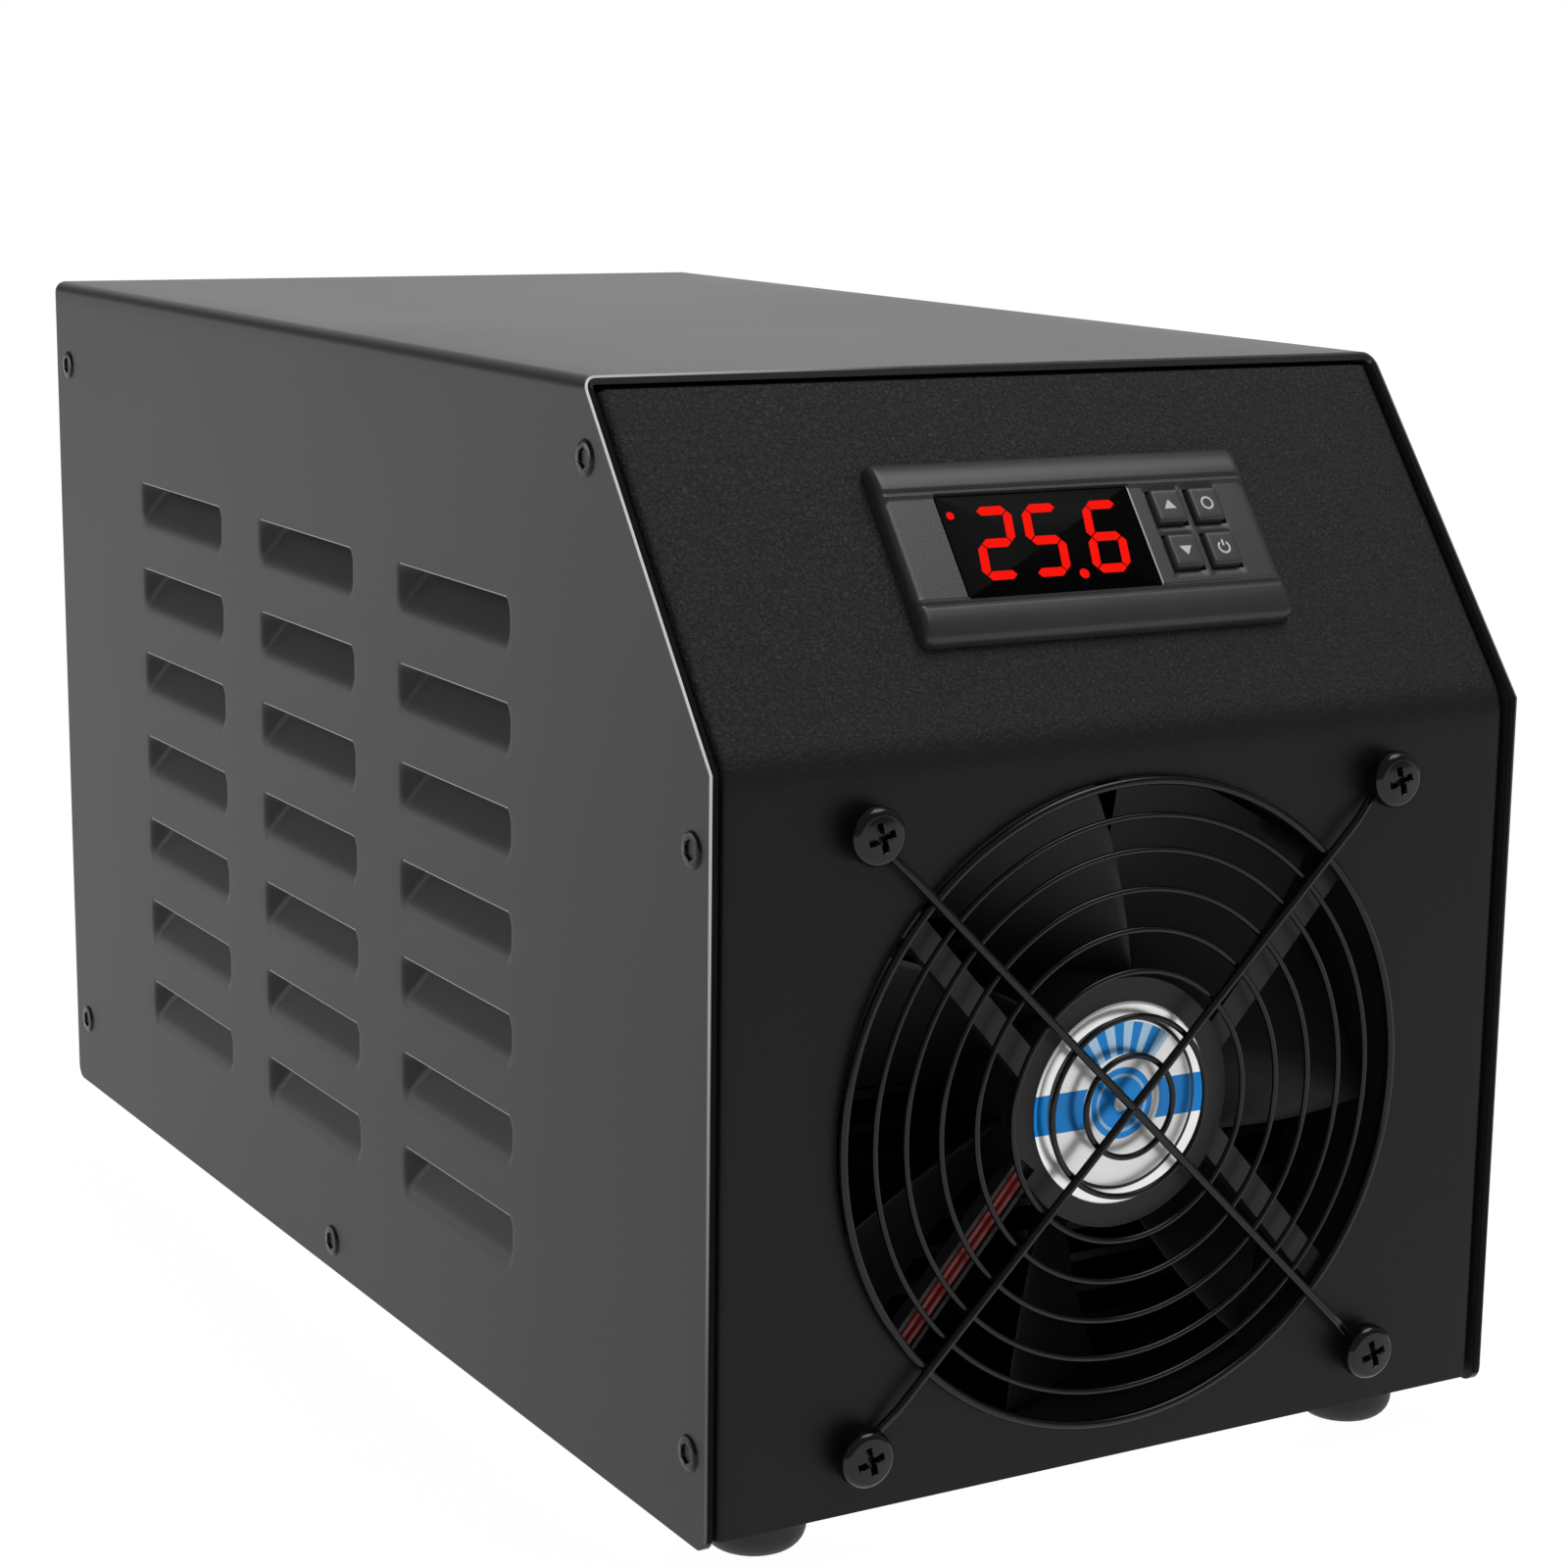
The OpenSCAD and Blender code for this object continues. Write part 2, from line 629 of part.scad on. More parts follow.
module fan_bearings() {
    bearing_y = fan_face_y + hub_t + seat_gap;
    color([0.75, 0.76, 0.78]) placed() for (y = [bearing_y, bearing_y + post_len - bearing_h - 2 * seat_gap])
        at_fan(y) difference() {
            along_y(bearing_h, bearing_r);
            translate([0, -overrun, 0]) along_y(bearing_h + 2 * overrun, shaft_r + thread_gap);
        }
}
board_t = 1.6;
stator_y = rotor_y + board_t + rotor_gap;
stator_len = post_len - (stator_y - fan_face_y - hub_t) - rotor_gap / 2;
stator_r = hub_r * 0.72;
module fan_board() {
    color([0.10, 0.35, 0.18]) placed() at_fan(rotor_y) difference() {
        along_y(board_t, stator_r);
        translate([0, -overrun, 0]) along_y(board_t + 2 * overrun, post_r + seat_gap);
    }
}
module fan_windings() {
    neck = post_r * 0.45;
    color([0.72, 0.42, 0.20]) placed() at_fan(stator_y) difference() {
        union() {
            along_y(stator_len, post_r + 2 * seat_gap + neck * 0.8);
            for (a = [0 : 90 : 270]) rotate([0, a, 0]) intersection() {
                along_y(stator_len, stator_r);
                union() {
                    block([-neck, neck], [0, stator_len], [0, stator_r]);
                    block([-2 * neck, 2 * neck], [0, stator_len], [stator_r * 0.55, stator_r * 0.8]);
                    block([-3 * neck, 3 * neck], [0, stator_len], [stator_r * 0.86, stator_r]);
                }
            }
        }
        translate([0, -overrun, 0]) along_y(stator_len + 2 * overrun, post_r + seat_gap);
    }
}

// Rotor: a cup over the windings, with blades that are bent strips set at a pitch
rotor_r = hub_r * 0.97;
magnet_t = 2;
boss_r = 3.2;
blade_t = 1.4;
blade_chord = 30;
blade_bow_r = 34;
blade_pitch = 38;
blade_half = asin(blade_chord / 2 / blade_bow_r);
// A blade stands out along +Z and leans about that line
module blade(depth, tip) {
    root = rotor_r - cup_wall / 2;
    intersection() {
        translate([0, depth / 2, root * 0.7]) rotate([0, 0, blade_pitch]) translate([0, -blade_bow_r, 0])
            linear_extrude(height = tip - root * 0.6) difference() {
                circle(r = blade_bow_r + blade_t / 2, $fn = 96);
                circle(r = blade_bow_r - blade_t / 2, $fn = 96);
                translate([-blade_bow_r - overrun, -2 * blade_bow_r])
                    square([2 * (blade_bow_r + overrun), blade_bow_r * (2 + cos(blade_half))]);
            }
        difference() {
            along_y(depth, tip);
            translate([0, -overrun, 0]) along_y(depth + 2 * overrun, root);
        }
    }
}
module blade_ring() {
    for (i = [0 : blade_count - 1]) rotate([0, i * 360 / blade_count, 0])
        blade(rotor_end_y - rotor_y - 2 * sheet_gap, duct_r - tip_gap);
}
module fan_rotor() {
    color([0.08, 0.08, 0.08]) placed() at_fan(rotor_y) {
        difference() {
            along_y(rotor_end_y - rotor_y, rotor_r);
            translate([0, -overrun, 0])
                along_y(rotor_end_y - rotor_y - cup_wall + overrun, rotor_r - cup_wall);
            translate([0, -overrun, 0])
                along_y(rotor_end_y - rotor_y + 2 * overrun, shaft_r + thread_gap / 2);
        }
        translate([0, fan_face_y + hub_t + post_len + rotor_gap - rotor_y, 0]) difference() {
            along_y(rotor_end_y - fan_face_y - hub_t - post_len - rotor_gap, boss_r);
            translate([0, -overrun, 0]) along_y(fan_depth, shaft_r + thread_gap / 2);
        }
        blade_ring();
    }
}
module fan_magnet() {
    color([0.25, 0.25, 0.27]) placed() at_fan(stator_y) difference() {
        along_y(stator_len, rotor_r - cup_wall - seat_gap);
        translate([0, -overrun, 0])
            along_y(stator_len + 2 * overrun, rotor_r - cup_wall - magnet_t);
    }
}
module fan_shaft() {
    shaft_y = fan_face_y + hub_t + 2 * seat_gap;
    color([0.8, 0.8, 0.82]) placed() at_fan(shaft_y) along_y(rotor_end_y - shaft_y - seat_gap, shaft_r);
}

// Tube of round section swept along a list of points, as one closed skin
function unit(v) = v / norm(v);
function heading(pts, i) = i == 0 ? unit(pts[1] - pts[0])
    : i == len(pts) - 1 ? unit(pts[i] - pts[i - 1])
    : unit(unit(pts[i + 1] - pts[i]) + unit(pts[i] - pts[i - 1]));
function carried(n, dir) = unit(n - dir * (n * dir));
function normals(pts, i, n) = i >= len(pts) ? []
    : let (m = carried(n, heading(pts, i))) concat([m], normals(pts, i + 1, m));
function curve_point(pts, i, t) =
    let (a = pts[max(i - 1, 0)], b = pts[i], c = pts[i + 1], d = pts[min(i + 2, len(pts) - 1)])
    0.5 * (2 * b + t * (c - a) + t * t * (2 * a - 5 * b + 4 * c - d)
           + t * t * t * (3 * b - a - 3 * c + d));
function smooth(pts, steps) = concat(
    [for (i = [0 : len(pts) - 2], s = [0 : steps - 1]) curve_point(pts, i, s / steps)],
    [pts[len(pts) - 1]]);
module sweep(pts, r, sides) {
    first = heading(pts, 0);
    ns = normals(pts, 0, abs(first[2]) < 0.9 ? [0, 0, 1] : [1, 0, 0]);
    n = len(pts);
    skin = [for (i = [0 : n - 1]) let (h = heading(pts, i), u = ns[i], v = cross(h, u))
        for (k = [0 : sides - 1]) pts[i] + r * (u * cos(k * 360 / sides) + v * sin(k * 360 / sides))];
    faces = concat(
        [[for (k = [0 : sides - 1]) k]],
        [for (i = [0 : n - 2], k = [0 : sides - 1]) let (a = i * sides + k, b = i * sides + (k + 1) % sides)
            each [[a, a + sides, b], [b, a + sides, b + sides]]],
        [[for (k = [sides - 1 : -1 : 0]) (n - 1) * sides + k]]);
    polyhedron(points = skin, faces = faces);
}
lead_r = 0.7;
lead_pitch = 1.6;

// Controller: all its parts are placed about the middle of its face, with depth running inward
bezel_edge_t = 1.2;
bezel_wall = 1.6;
ridge_h = 0.5;
ridge_w = 1.2;
band_h = ctrl_h * 0.155;
bezel_r = 2.2;
face_out = ctrl_stand - ridge_h;
window_x = -7.4;
window_rim = 0.6;
button_xs = [18.8, 26.8];
button_zs = [5.1, -3.8];
case_wall = 1.5;
module at_controller() { on_slope() translate([ctrl_x, 0, ctrl_u]) children(); }
// Section of the face up the slope: two bulging bands with a ridge beside each
module bezel_section() {
    half = ctrl_h / 2;
    crown = half - band_h;
    steps = 6;
    bulge = [for (i = [0 : steps]) let (a = 90 * i / steps)
        [crown + band_h * cos(a), -bezel_edge_t - (ctrl_stand - bezel_edge_t) * sin(a)]];
    upper = concat([[half, 0]], bulge, [[crown - ridge_w, -ctrl_stand], [crown - 1.5 * ridge_w, -face_out]]);
    lower = [for (i = [len(upper) - 1 : -1 : 0]) [-upper[i][0], upper[i][1]]];
    polygon([for (p = concat(upper, lower)) [p[1], p[0]]]);
}
module bezel_block() {
    intersection() {
        translate([-ctrl_w / 2, 0, 0]) rotate([90, 0, 90]) linear_extrude(height = ctrl_w) bezel_section();
        front_prism(-2 * ctrl_stand, 3 * ctrl_stand) round_rect(ctrl_w, ctrl_h, bezel_r);
    }
}
module button_places() {
    for (x = button_xs, z = button_zs) translate([x, 0, z]) children();
}
module controller_bezel() {
    color([0.27, 0.28, 0.28]) placed() at_controller() difference() {
        bezel_block();
        translate([0, -face_out + bezel_wall, 0]) front_prism(0, ctrl_stand)
            round_rect(ctrl_cut_w - 2 * case_wall, ctrl_cut_h - 4 * case_wall, case_wall);
        translate([window_x, 0, 0]) {
            front_prism(-ctrl_stand, window_rim + ridge_h)
                square([window_w + slide_gap, window_h + slide_gap], center = true);
            front_prism(-ctrl_stand, 2 * ctrl_stand)
                square([window_w - 2 * window_rim, window_h - 2 * window_rim], center = true);
        }
        button_places() front_prism(-2 * ctrl_stand, 3 * ctrl_stand)
            round_rect(button_w + 2 * button_gap, button_h + 2 * button_gap, button_gap * 2);
    }
}
module display_window() {
    color([0.03, 0.03, 0.035]) placed() at_controller() translate([window_x, 0, 0])
        front_prism(-face_out + seat_gap, window_rim - 2 * seat_gap)
            square([window_w, window_h], center = true);
}
case_y = seat_gap;
module controller_case() {
    color([0.30, 0.31, 0.31]) placed() at_controller() difference() {
        block([-ctrl_cut_w / 2, ctrl_cut_w / 2], [case_y, ctrl_depth], [-ctrl_cut_h / 2, ctrl_cut_h / 2]);
        block([case_wall - ctrl_cut_w / 2, ctrl_cut_w / 2 - case_wall], [-overrun, ctrl_depth - case_wall],
              [case_wall - ctrl_cut_h / 2, ctrl_cut_h / 2 - case_wall]);
        block([-terminal_w / 2 - slide_gap, terminal_w / 2 + slide_gap],
              [ctrl_depth - 2 * case_wall, ctrl_depth + overrun],
              [-terminal_h / 2 - slide_gap, terminal_h / 2 + slide_gap]);
        mirror_pair() block([ctrl_cut_w / 2 - clip_groove, ctrl_cut_w],
                            [sheet_t + clip_len + slide_gap, ctrl_depth - 2 * case_wall],
                            [-clip_h / 2 - slide_gap, clip_h / 2 + slide_gap]);
    }
}
terminal_w = 52;
terminal_h = 16;
terminal_d = 9;
terminal_n = 8;
clip_len = 12;
clip_h = 14;
clip_t = 3;
clip_groove = case_wall * 0.4;
display_y = rotor_gap;
module display_module() {
    color([0.08, 0.08, 0.09]) placed() at_controller() translate([window_x, 0, 0])
        block([-window_w * 0.45, window_w * 0.45], [display_y, display_y + 2 * display_t],
              [-window_h * 0.42, window_h * 0.42]);
}
display_t = 3;
panel_board_y = display_y + 2 * display_t + seat_gap;
module controller_board() {
    half_w = ctrl_cut_w / 2 - case_wall - slide_gap;
    half_h = ctrl_cut_h / 2 - case_wall - slide_gap;
    color([0.10, 0.35, 0.18]) placed() at_controller() {
        block([-half_w, half_w], [panel_board_y, panel_board_y + board_t], [-half_h, half_h]);
        block([-half_w * 0.9, half_w * 0.9], [panel_board_y + board_t - seat_gap,
              ctrl_depth - 2 * case_wall - seat_gap], [-half_h * 0.72, board_t - half_h * 0.72]);
        block([-half_w * 0.8, -half_w * 0.2], [panel_board_y + 2 * display_t,
              ctrl_depth * 0.6], [-half_h * 0.75 + board_t, half_h * 0.6]);
        block([half_w * 0.1, half_w * 0.45], [ctrl_depth * 0.45, ctrl_depth * 0.72],
              [-half_h * 0.75 + board_t, half_h * 0.45]);
        button_places()
            block([-button_w * 0.42, button_w * 0.42], [panel_board_y - display_t, panel_board_y + seat_gap],
                  [-button_w * 0.42, button_w * 0.42]);
    }
}
module controller_clips() {
    color([0.30, 0.31, 0.31]) placed() at_controller() mirror_pair()
        block([ctrl_cut_w / 2 + seat_gap, ctrl_cut_w / 2 + clip_t], [sheet_t + seat_gap, sheet_t + clip_len],
              [-clip_h / 2, clip_h / 2]);
}
module controller_terminals() {
    step = terminal_w / terminal_n;
    color([0.12, 0.12, 0.13]) placed() at_controller() difference() {
        block([-terminal_w / 2, terminal_w / 2],
              [ctrl_depth - 2 * case_wall, ctrl_depth - 2 * case_wall + terminal_d],
              [-terminal_h / 2, terminal_h / 2]);
        for (i = [0 : terminal_n - 1]) translate([-terminal_w / 2 + (i + 0.5) * step,
                                                 ctrl_depth - 2 * case_wall + terminal_d / 2, 0])
            along_y(terminal_d, step * 0.3);
    }
}
// A button cap with a flange behind the bezel and a stem towards its switch
module button(x, z) {
    stem_end = panel_board_y - display_t - button_travel - 2 * seat_gap;
    flange_y = -face_out + bezel_wall + seat_gap;
    color([0.16, 0.16, 0.17]) placed() at_controller() translate([x, 0, z]) {
        front_prism(-face_out - button_stand, button_stand + bezel_wall + case_wall)
            round_rect(button_w, button_h, button_gap);
        front_prism(flange_y, case_wall * 0.5)
            square([button_w + 3 * button_gap, button_h + 3 * button_gap], center = true);
        along_y(stem_end, button_w * 0.25);
    }
}
module button_up() { button(button_xs[0], button_zs[0]); }
module button_down() { button(button_xs[0], button_zs[1]); }
module button_set() { button(button_xs[1], button_zs[0]); }
module button_power() { button(button_xs[1], button_zs[1]); }

// Heat sink: an extruded comb whose gaps run from side to side, so air drawn in at the
// louvres leaves through the fan
small_screw_r = 1.5;
small_head_r = 2.8;
small_head_h = 2;
sink_z = tray_top_z + 2 * sheet_gap + sheet_t + sink_h / 2;
base_y = sink_y + fin_depth;
module_y = base_y + sink_base_t + seat_gap;
block_y = module_y + module_t + seat_gap;
block_end_y = block_y + block_t;
module_x = module_side / 2 + sheet_t;
module heat_sink() {
    pitch = (sink_h - fin_t) / (fin_count - 1);
    comb = concat([[base_y + sink_base_t, -sink_h / 2]],
        [for (i = [0 : fin_count - 1]) let (z = i * pitch - sink_h / 2)
            each [[i == 0 ? sink_y : base_y, z], [sink_y, z], [sink_y, z + fin_t], [base_y, z + fin_t]]],
        [[base_y, sink_h / 2], [base_y + sink_base_t, sink_h / 2]]);
    color([0.78, 0.79, 0.80]) placed() difference() {
        translate([0, 0, sink_z]) side_prism(-sink_w / 2, sink_w) polygon(comb);
        clamp_places() translate([0, -clamp_bite, 0]) along_y(2 * clamp_bite, small_screw_r + thread_gap);
        sink_screw_places() mirror([1, 0, 0]) along_x(sink_screw_bite + overrun, small_screw_r + thread_gap);
    }
}
clamp_bite = sink_base_t * 0.8;
clamp_in = 4.5;
module clamp_places() {
    for (x = [-1, 1], z = [-1, 1])
        translate([x * (block_w / 2 - clamp_in), base_y + sink_base_t,
                   sink_z + z * (block_h / 2 - clamp_in)])
            children();
}
// Two angles hold the sink's base to the tray
bracket_h = 24;
bracket_foot = 14;
sink_screw_bite = 6;
bracket_screw_in = bracket_foot * 0.55;
sink_screw_z = tray_top_z + bracket_h * 0.71;
module sink_screw_places() {
    mirror_pair() translate([sink_w / 2, base_y + sink_base_t / 2, sink_screw_z]) children();
}
module bracket_screw_places() {
    mirror_pair() translate([sink_w / 2 + bracket_screw_in, base_y, tray_z]) children();
}
module sink_brackets() {
    y = [base_y - sink_base_t / 2, base_y + sink_base_t];
    color([0.70, 0.71, 0.72]) placed() difference() {
        mirror_pair() {
            block([sink_w / 2 + seat_gap, sink_w / 2 + sheet_t], y, [tray_top_z, tray_top_z + bracket_h]);
            block([sink_w / 2 + seat_gap, sink_w / 2 + bracket_foot], y, [tray_top_z, tray_top_z + sheet_t]);
            block([sink_w / 2 - bracket_foot / 2, sink_w / 2 + sheet_t], y,
                  [tray_top_z, tray_top_z + sheet_t]);
        }
        sink_screw_places() translate([-overrun, 0, 0]) along_x(3 * sheet_t, small_screw_r + slide_gap);
        bracket_screw_places() cylinder(h = 3 * sheet_t + overrun, r = small_screw_r + slide_gap);
    }
}
// A small pan-head screw that runs down from its head's underside
module small_screw(len) {
    difference() {
        cylinder(h = small_head_h, r1 = small_head_r, r2 = small_head_r * 0.8);
        translate([0, 0, small_head_h]) for (a = [0, 90]) rotate(a)
            cube([small_head_r * 1.2, small_head_r * 0.25, small_head_h], center = true);
    }
    translate([0, 0, -len]) cylinder(h = len + small_head_h / 4, r = small_screw_r);
}
// One set of screws threaded into the heat sink or its tray: brackets, feet and water block
module sink_screws() {
    deep = block_end_y - base_y - sink_base_t;
    color([0.7, 0.7, 0.72]) placed() {
        sink_screw_places() translate([sheet_t + seat_gap, 0, 0]) rotate([0, 90, 0])
            small_screw(sheet_t + sink_screw_bite - overrun);
        bracket_screw_places() translate([0, 0, 2 * sheet_t + seat_gap]) small_screw(3 * sheet_t);
        clamp_places() translate([0, deep + seat_gap, 0]) rotate([-90, 0, 0])
            small_screw(deep + clamp_bite - overrun);
    }
}
module peltier_modules() {
    color([0.90, 0.90, 0.88]) placed() mirror_pair()
        block([module_x - module_side / 2, module_x + module_side / 2], [module_y, module_y + module_t],
              [sink_z - module_side / 2, sink_z + module_side / 2]);
}

// Cold block: milled aluminium with a spigot for each inner tube and a pocket for the probe
spigot_len = 16;
spigot_r = tube_bore_r - thread_gap;
spigot_bore_r = 2.6;
probe_r = 2.5;
probe_depth = 14;
port_z = sink_z;
module cold_block() {
    color([0.75, 0.76, 0.78]) placed() difference() {
        union() {
            block([-block_w / 2, block_w / 2], [block_y, block_end_y],
                  [sink_z - block_h / 2, sink_z + block_h / 2]);
            mirror_pair() translate([barb_x, block_end_y - overrun, port_z])
                along_y(spigot_len + overrun, spigot_r);
        }
        mirror_pair() translate([barb_x, block_y + block_t * 0.4, port_z])
            along_y(block_t + spigot_len, spigot_bore_r);
        for (s = [-1, 1]) block([-block_w * 0.4, block_w * 0.4],
             [block_y + block_t * 0.3, block_y + block_t * 0.6],
            [sink_z + s * block_h * 0.2 - spigot_bore_r, sink_z + s * block_h * 0.2 + spigot_bore_r]);
        mirror_pair() block([barb_x - spigot_bore_r, barb_x + spigot_bore_r],
            [block_y + block_t * 0.3, block_y + block_t * 0.6],
            [sink_z - block_h * 0.25, sink_z + block_h * 0.25]);
        clamp_places() along_y(block_t + module_t + overrun, small_screw_r + slide_gap);
        translate([0, block_y + block_t * 0.8, sink_z + block_h / 2 - probe_depth])
            cylinder(h = probe_depth + overrun, r = probe_r + slide_gap);
    }
}
module insulation_foam() {
    gap = sheet_gap;
    low = sink_z - block_h / 2 - gap;
    high = sink_z + block_h / 2 + gap;
    wide = block_w / 2 + gap;
    head_y = block_end_y + small_head_h + 2 * gap;
    color([0.14, 0.14, 0.15]) placed() difference() {
        block([-wide - foam_t, wide + foam_t], [base_y + sink_base_t + gap, head_y + foam_t],
              [low - foam_t, high + foam_t]);
        block([-wide, wide], [base_y + sink_base_t - overrun, head_y], [low, high]);
        mirror_pair() translate([barb_x, block_end_y, port_z])
            along_y(4 * foam_t, tube_bore_r + tube_wall + gap);
        translate([0, block_y + block_t * 0.8, high - overrun])
            cylinder(h = foam_t + 2 * overrun, r = probe_r + slide_gap);
        mirror_pair() block([wide - overrun, 2 * wide], [base_y, module_y + module_t],
                            [sink_z - 2 * lead_pitch, sink_z + 2 * lead_pitch]);
    }
}

// Water: two inner tubes run straight back from the cold block to the bulkhead barbs
tube_r = tube_bore_r + tube_wall;
inner_spigot_len = 14;
barb_thread_r = 6;
barb_flange_r = 9.5;
barb_flange_t = 3;
barb_seal_t = 1.5;
barb_nut_h = 4;
barb_nut_r = 9;
barb_rib_len = 4.5;
barb_ribs = 4;
barb_neck_r = barb_r * 0.9;
barb_in_y = rear_in_y - barb_nut_h - 2 * seat_gap;
barb_inner_y = barb_in_y - inner_spigot_len;
clamp_w = 6;
hose_clamp_t = 0.9;
module tube_places() { mirror_pair() translate([barb_x, 0, port_z]) children(); }
module water_tubes() {
    from = block_end_y + sheet_gap;
    to = barb_in_y - 2 * sheet_gap;
    color([0.80, 0.82, 0.84]) placed() tube_places() difference() {
        translate([0, from, 0]) along_y(to - from, tube_r);
        translate([0, from - overrun, 0]) along_y(to - from + 2 * overrun, tube_bore_r);
    }
}
module hose_clamp() {
    ear = clamp_w * 0.7;
    difference() {
        union() {
            along_y(clamp_w, tube_r + seat_gap + hose_clamp_t);
            for (x = [-hose_clamp_t, hose_clamp_t]) block([x - hose_clamp_t / 2, x + hose_clamp_t / 2],
                                    [0, clamp_w], [tube_r, tube_r + ear]);
        }
        translate([0, -overrun, 0]) along_y(clamp_w + 2 * overrun, tube_r + seat_gap);
    }
}
module hose_clamps() {
    color([0.75, 0.76, 0.78]) placed() tube_places()
        for (y = [block_end_y + small_head_h + foam_t + 4 * sheet_gap, barb_in_y - clamp_w - 3 * overrun])
            translate([0, y, 0]) hose_clamp();
}
module hose_barbs() {
    out_y = cover_d + barb_out;
    flange_y = rear_y + barb_seal_t + seat_gap;
    ribs_y = out_y - barb_ribs * barb_rib_len;
    color([0.09, 0.09, 0.09]) placed() tube_places() difference() {
        union() {
            translate([0, flange_y, 0]) rotate([-90, 0, 0])
                cylinder(h = barb_flange_t, r = barb_flange_r, $fn = 6);
            translate([0, barb_in_y, 0]) along_y(flange_y - barb_in_y + overrun / 2, barb_thread_r);
            translate([0, barb_inner_y, 0]) along_y(inner_spigot_len + overrun, tube_bore_r - thread_gap);
            translate([0, flange_y, 0]) along_y(ribs_y - flange_y + overrun / 2, barb_neck_r);
            for (i = [0 : barb_ribs - 1]) translate([0, ribs_y + i * barb_rib_len, 0]) rotate([-90, 0, 0])
                cylinder(h = barb_rib_len, r1 = barb_r, r2 = barb_neck_r - 2 * thread_gap);
        }
        translate([0, barb_inner_y - overrun, 0])
            along_y(out_y - barb_inner_y + 2 * overrun, barb_bore_r);
    }
}
module barb_seals() {
    color([0.05, 0.05, 0.05]) placed() tube_places() difference() {
        translate([0, rear_y + seat_gap / 2, 0]) along_y(barb_seal_t, barb_flange_r * 0.85);
        translate([0, rear_y - overrun, 0]) along_y(barb_seal_t + 2 * overrun, barb_thread_r + thread_gap);
    }
}
module barb_nuts() {
    color([0.09, 0.09, 0.09]) placed() tube_places() translate([0, barb_in_y + seat_gap, 0])
        rotate([-90, 0, 0]) nut(barb_thread_r, barb_nut_h, barb_nut_r);
}
module temperature_probe() {
    collar = foam_t + 2 * sheet_gap;
    color([0.1, 0.1, 0.1]) placed() {
        translate(probe_at - [0, 0, probe_depth - 2 * slide_gap])
            cylinder(h = probe_depth + collar, r = probe_r);
        sweep(smooth(probe_route, 5), probe_lead_r, 6);
    }
}
// Rear panel: flat, folded forward along both sides, with a lip under the tray
module rear_panel() {
    color([0.13, 0.13, 0.14]) placed() difference() {
        union() {
            intersection() {
                translate([0, rear_y, sill_h]) mirror([0, 1, 0]) channel(panel_top_z - sill_h);
                block([-cover_w, cover_w], [0, cover_d], [0, panel_top_z]);
            }
            block([-lip_x, lip_x], [rear_y - lip_d, rear_y - sheet_t / 2], [sill_h, sill_h + sheet_t]);
        }
        side_screw_places() along_x(screw_len + overrun, screw_r + thread_gap);
        rivet_places() cylinder(h = 4 * sheet_t, r = rivet_r + thread_gap, center = true);
        tube_places() translate([0, rear_in_y - overrun, 0])
            along_y(sheet_t + 2 * overrun, barb_thread_r + slide_gap);
        at_inlet() translate([0, -sheet_t - overrun, 0]) front_prism(0, sheet_t + 2 * overrun)
            square([body_w + 2 * slide_gap, body_h + 2 * slide_gap], center = true);
        inlet_screw_places() translate([0, -sheet_t - overrun, 0])
            along_y(sheet_t + 2 * overrun, small_screw_r + thread_gap);
    }
}

// Shelf: a bridge of sheet that carries the power supply over the water tubes
body_d = 30;
pin_len = 15;
shelf_x = 70;
shelf_foot = 12;
psu_y = rear_y - body_d - pin_len - psu_d;
shelf_y = [psu_y - overrun, psu_y + psu_d + overrun];
module shelf_screw_places() {
    mirror_pair() for (y = [shelf_y[0] + shelf_foot, shelf_y[1] - shelf_foot - bracket_foot])
        translate([shelf_x - thin_t - shelf_foot / 2, y, tray_z]) children();
}
module psu_shelf() {
    color([0.68, 0.69, 0.70]) placed() difference() {
        union() {
            block([-shelf_x, shelf_x], shelf_y, [shelf_z - thin_t, shelf_z]);
            mirror_pair() {
                block([shelf_x - thin_t, shelf_x], shelf_y, [tray_top_z, shelf_z]);
                block([shelf_x - thin_t - shelf_foot, shelf_x], shelf_y, [tray_top_z, tray_top_z + thin_t]);
            }
        }
        mirror_pair() block([shelf_x - 2 * thin_t, shelf_x + overrun],
            [shelf_y[0] + 2 * shelf_foot, shelf_y[1] - 2 * shelf_foot],
            [tray_top_z + 2 * shelf_foot, shelf_z - 2 * shelf_foot]);
        shelf_screw_places() cylinder(h = 2 * shelf_foot, r = small_screw_r + slide_gap);
        psu_screw_places() cylinder(h = 3 * thin_t, r = small_screw_r + slide_gap, center = true);
    }
}
module psu_screw_places() {
    mirror_pair() for (y = [psu_y + shelf_foot, psu_y + psu_d * 0.8])
        translate([psu_w / 2 - shelf_foot, y, shelf_z]) children();
}
module shelf_screws() {
    color([0.7, 0.7, 0.72]) placed() {
        shelf_screw_places() translate([0, 0, sheet_t + thin_t + seat_gap])
            small_screw(2 * sheet_t + thin_t);
        psu_screw_places() translate([0, 0, -thin_t - seat_gap]) mirror([0, 0, 1])
            small_screw(3 * thin_t);
    }
}

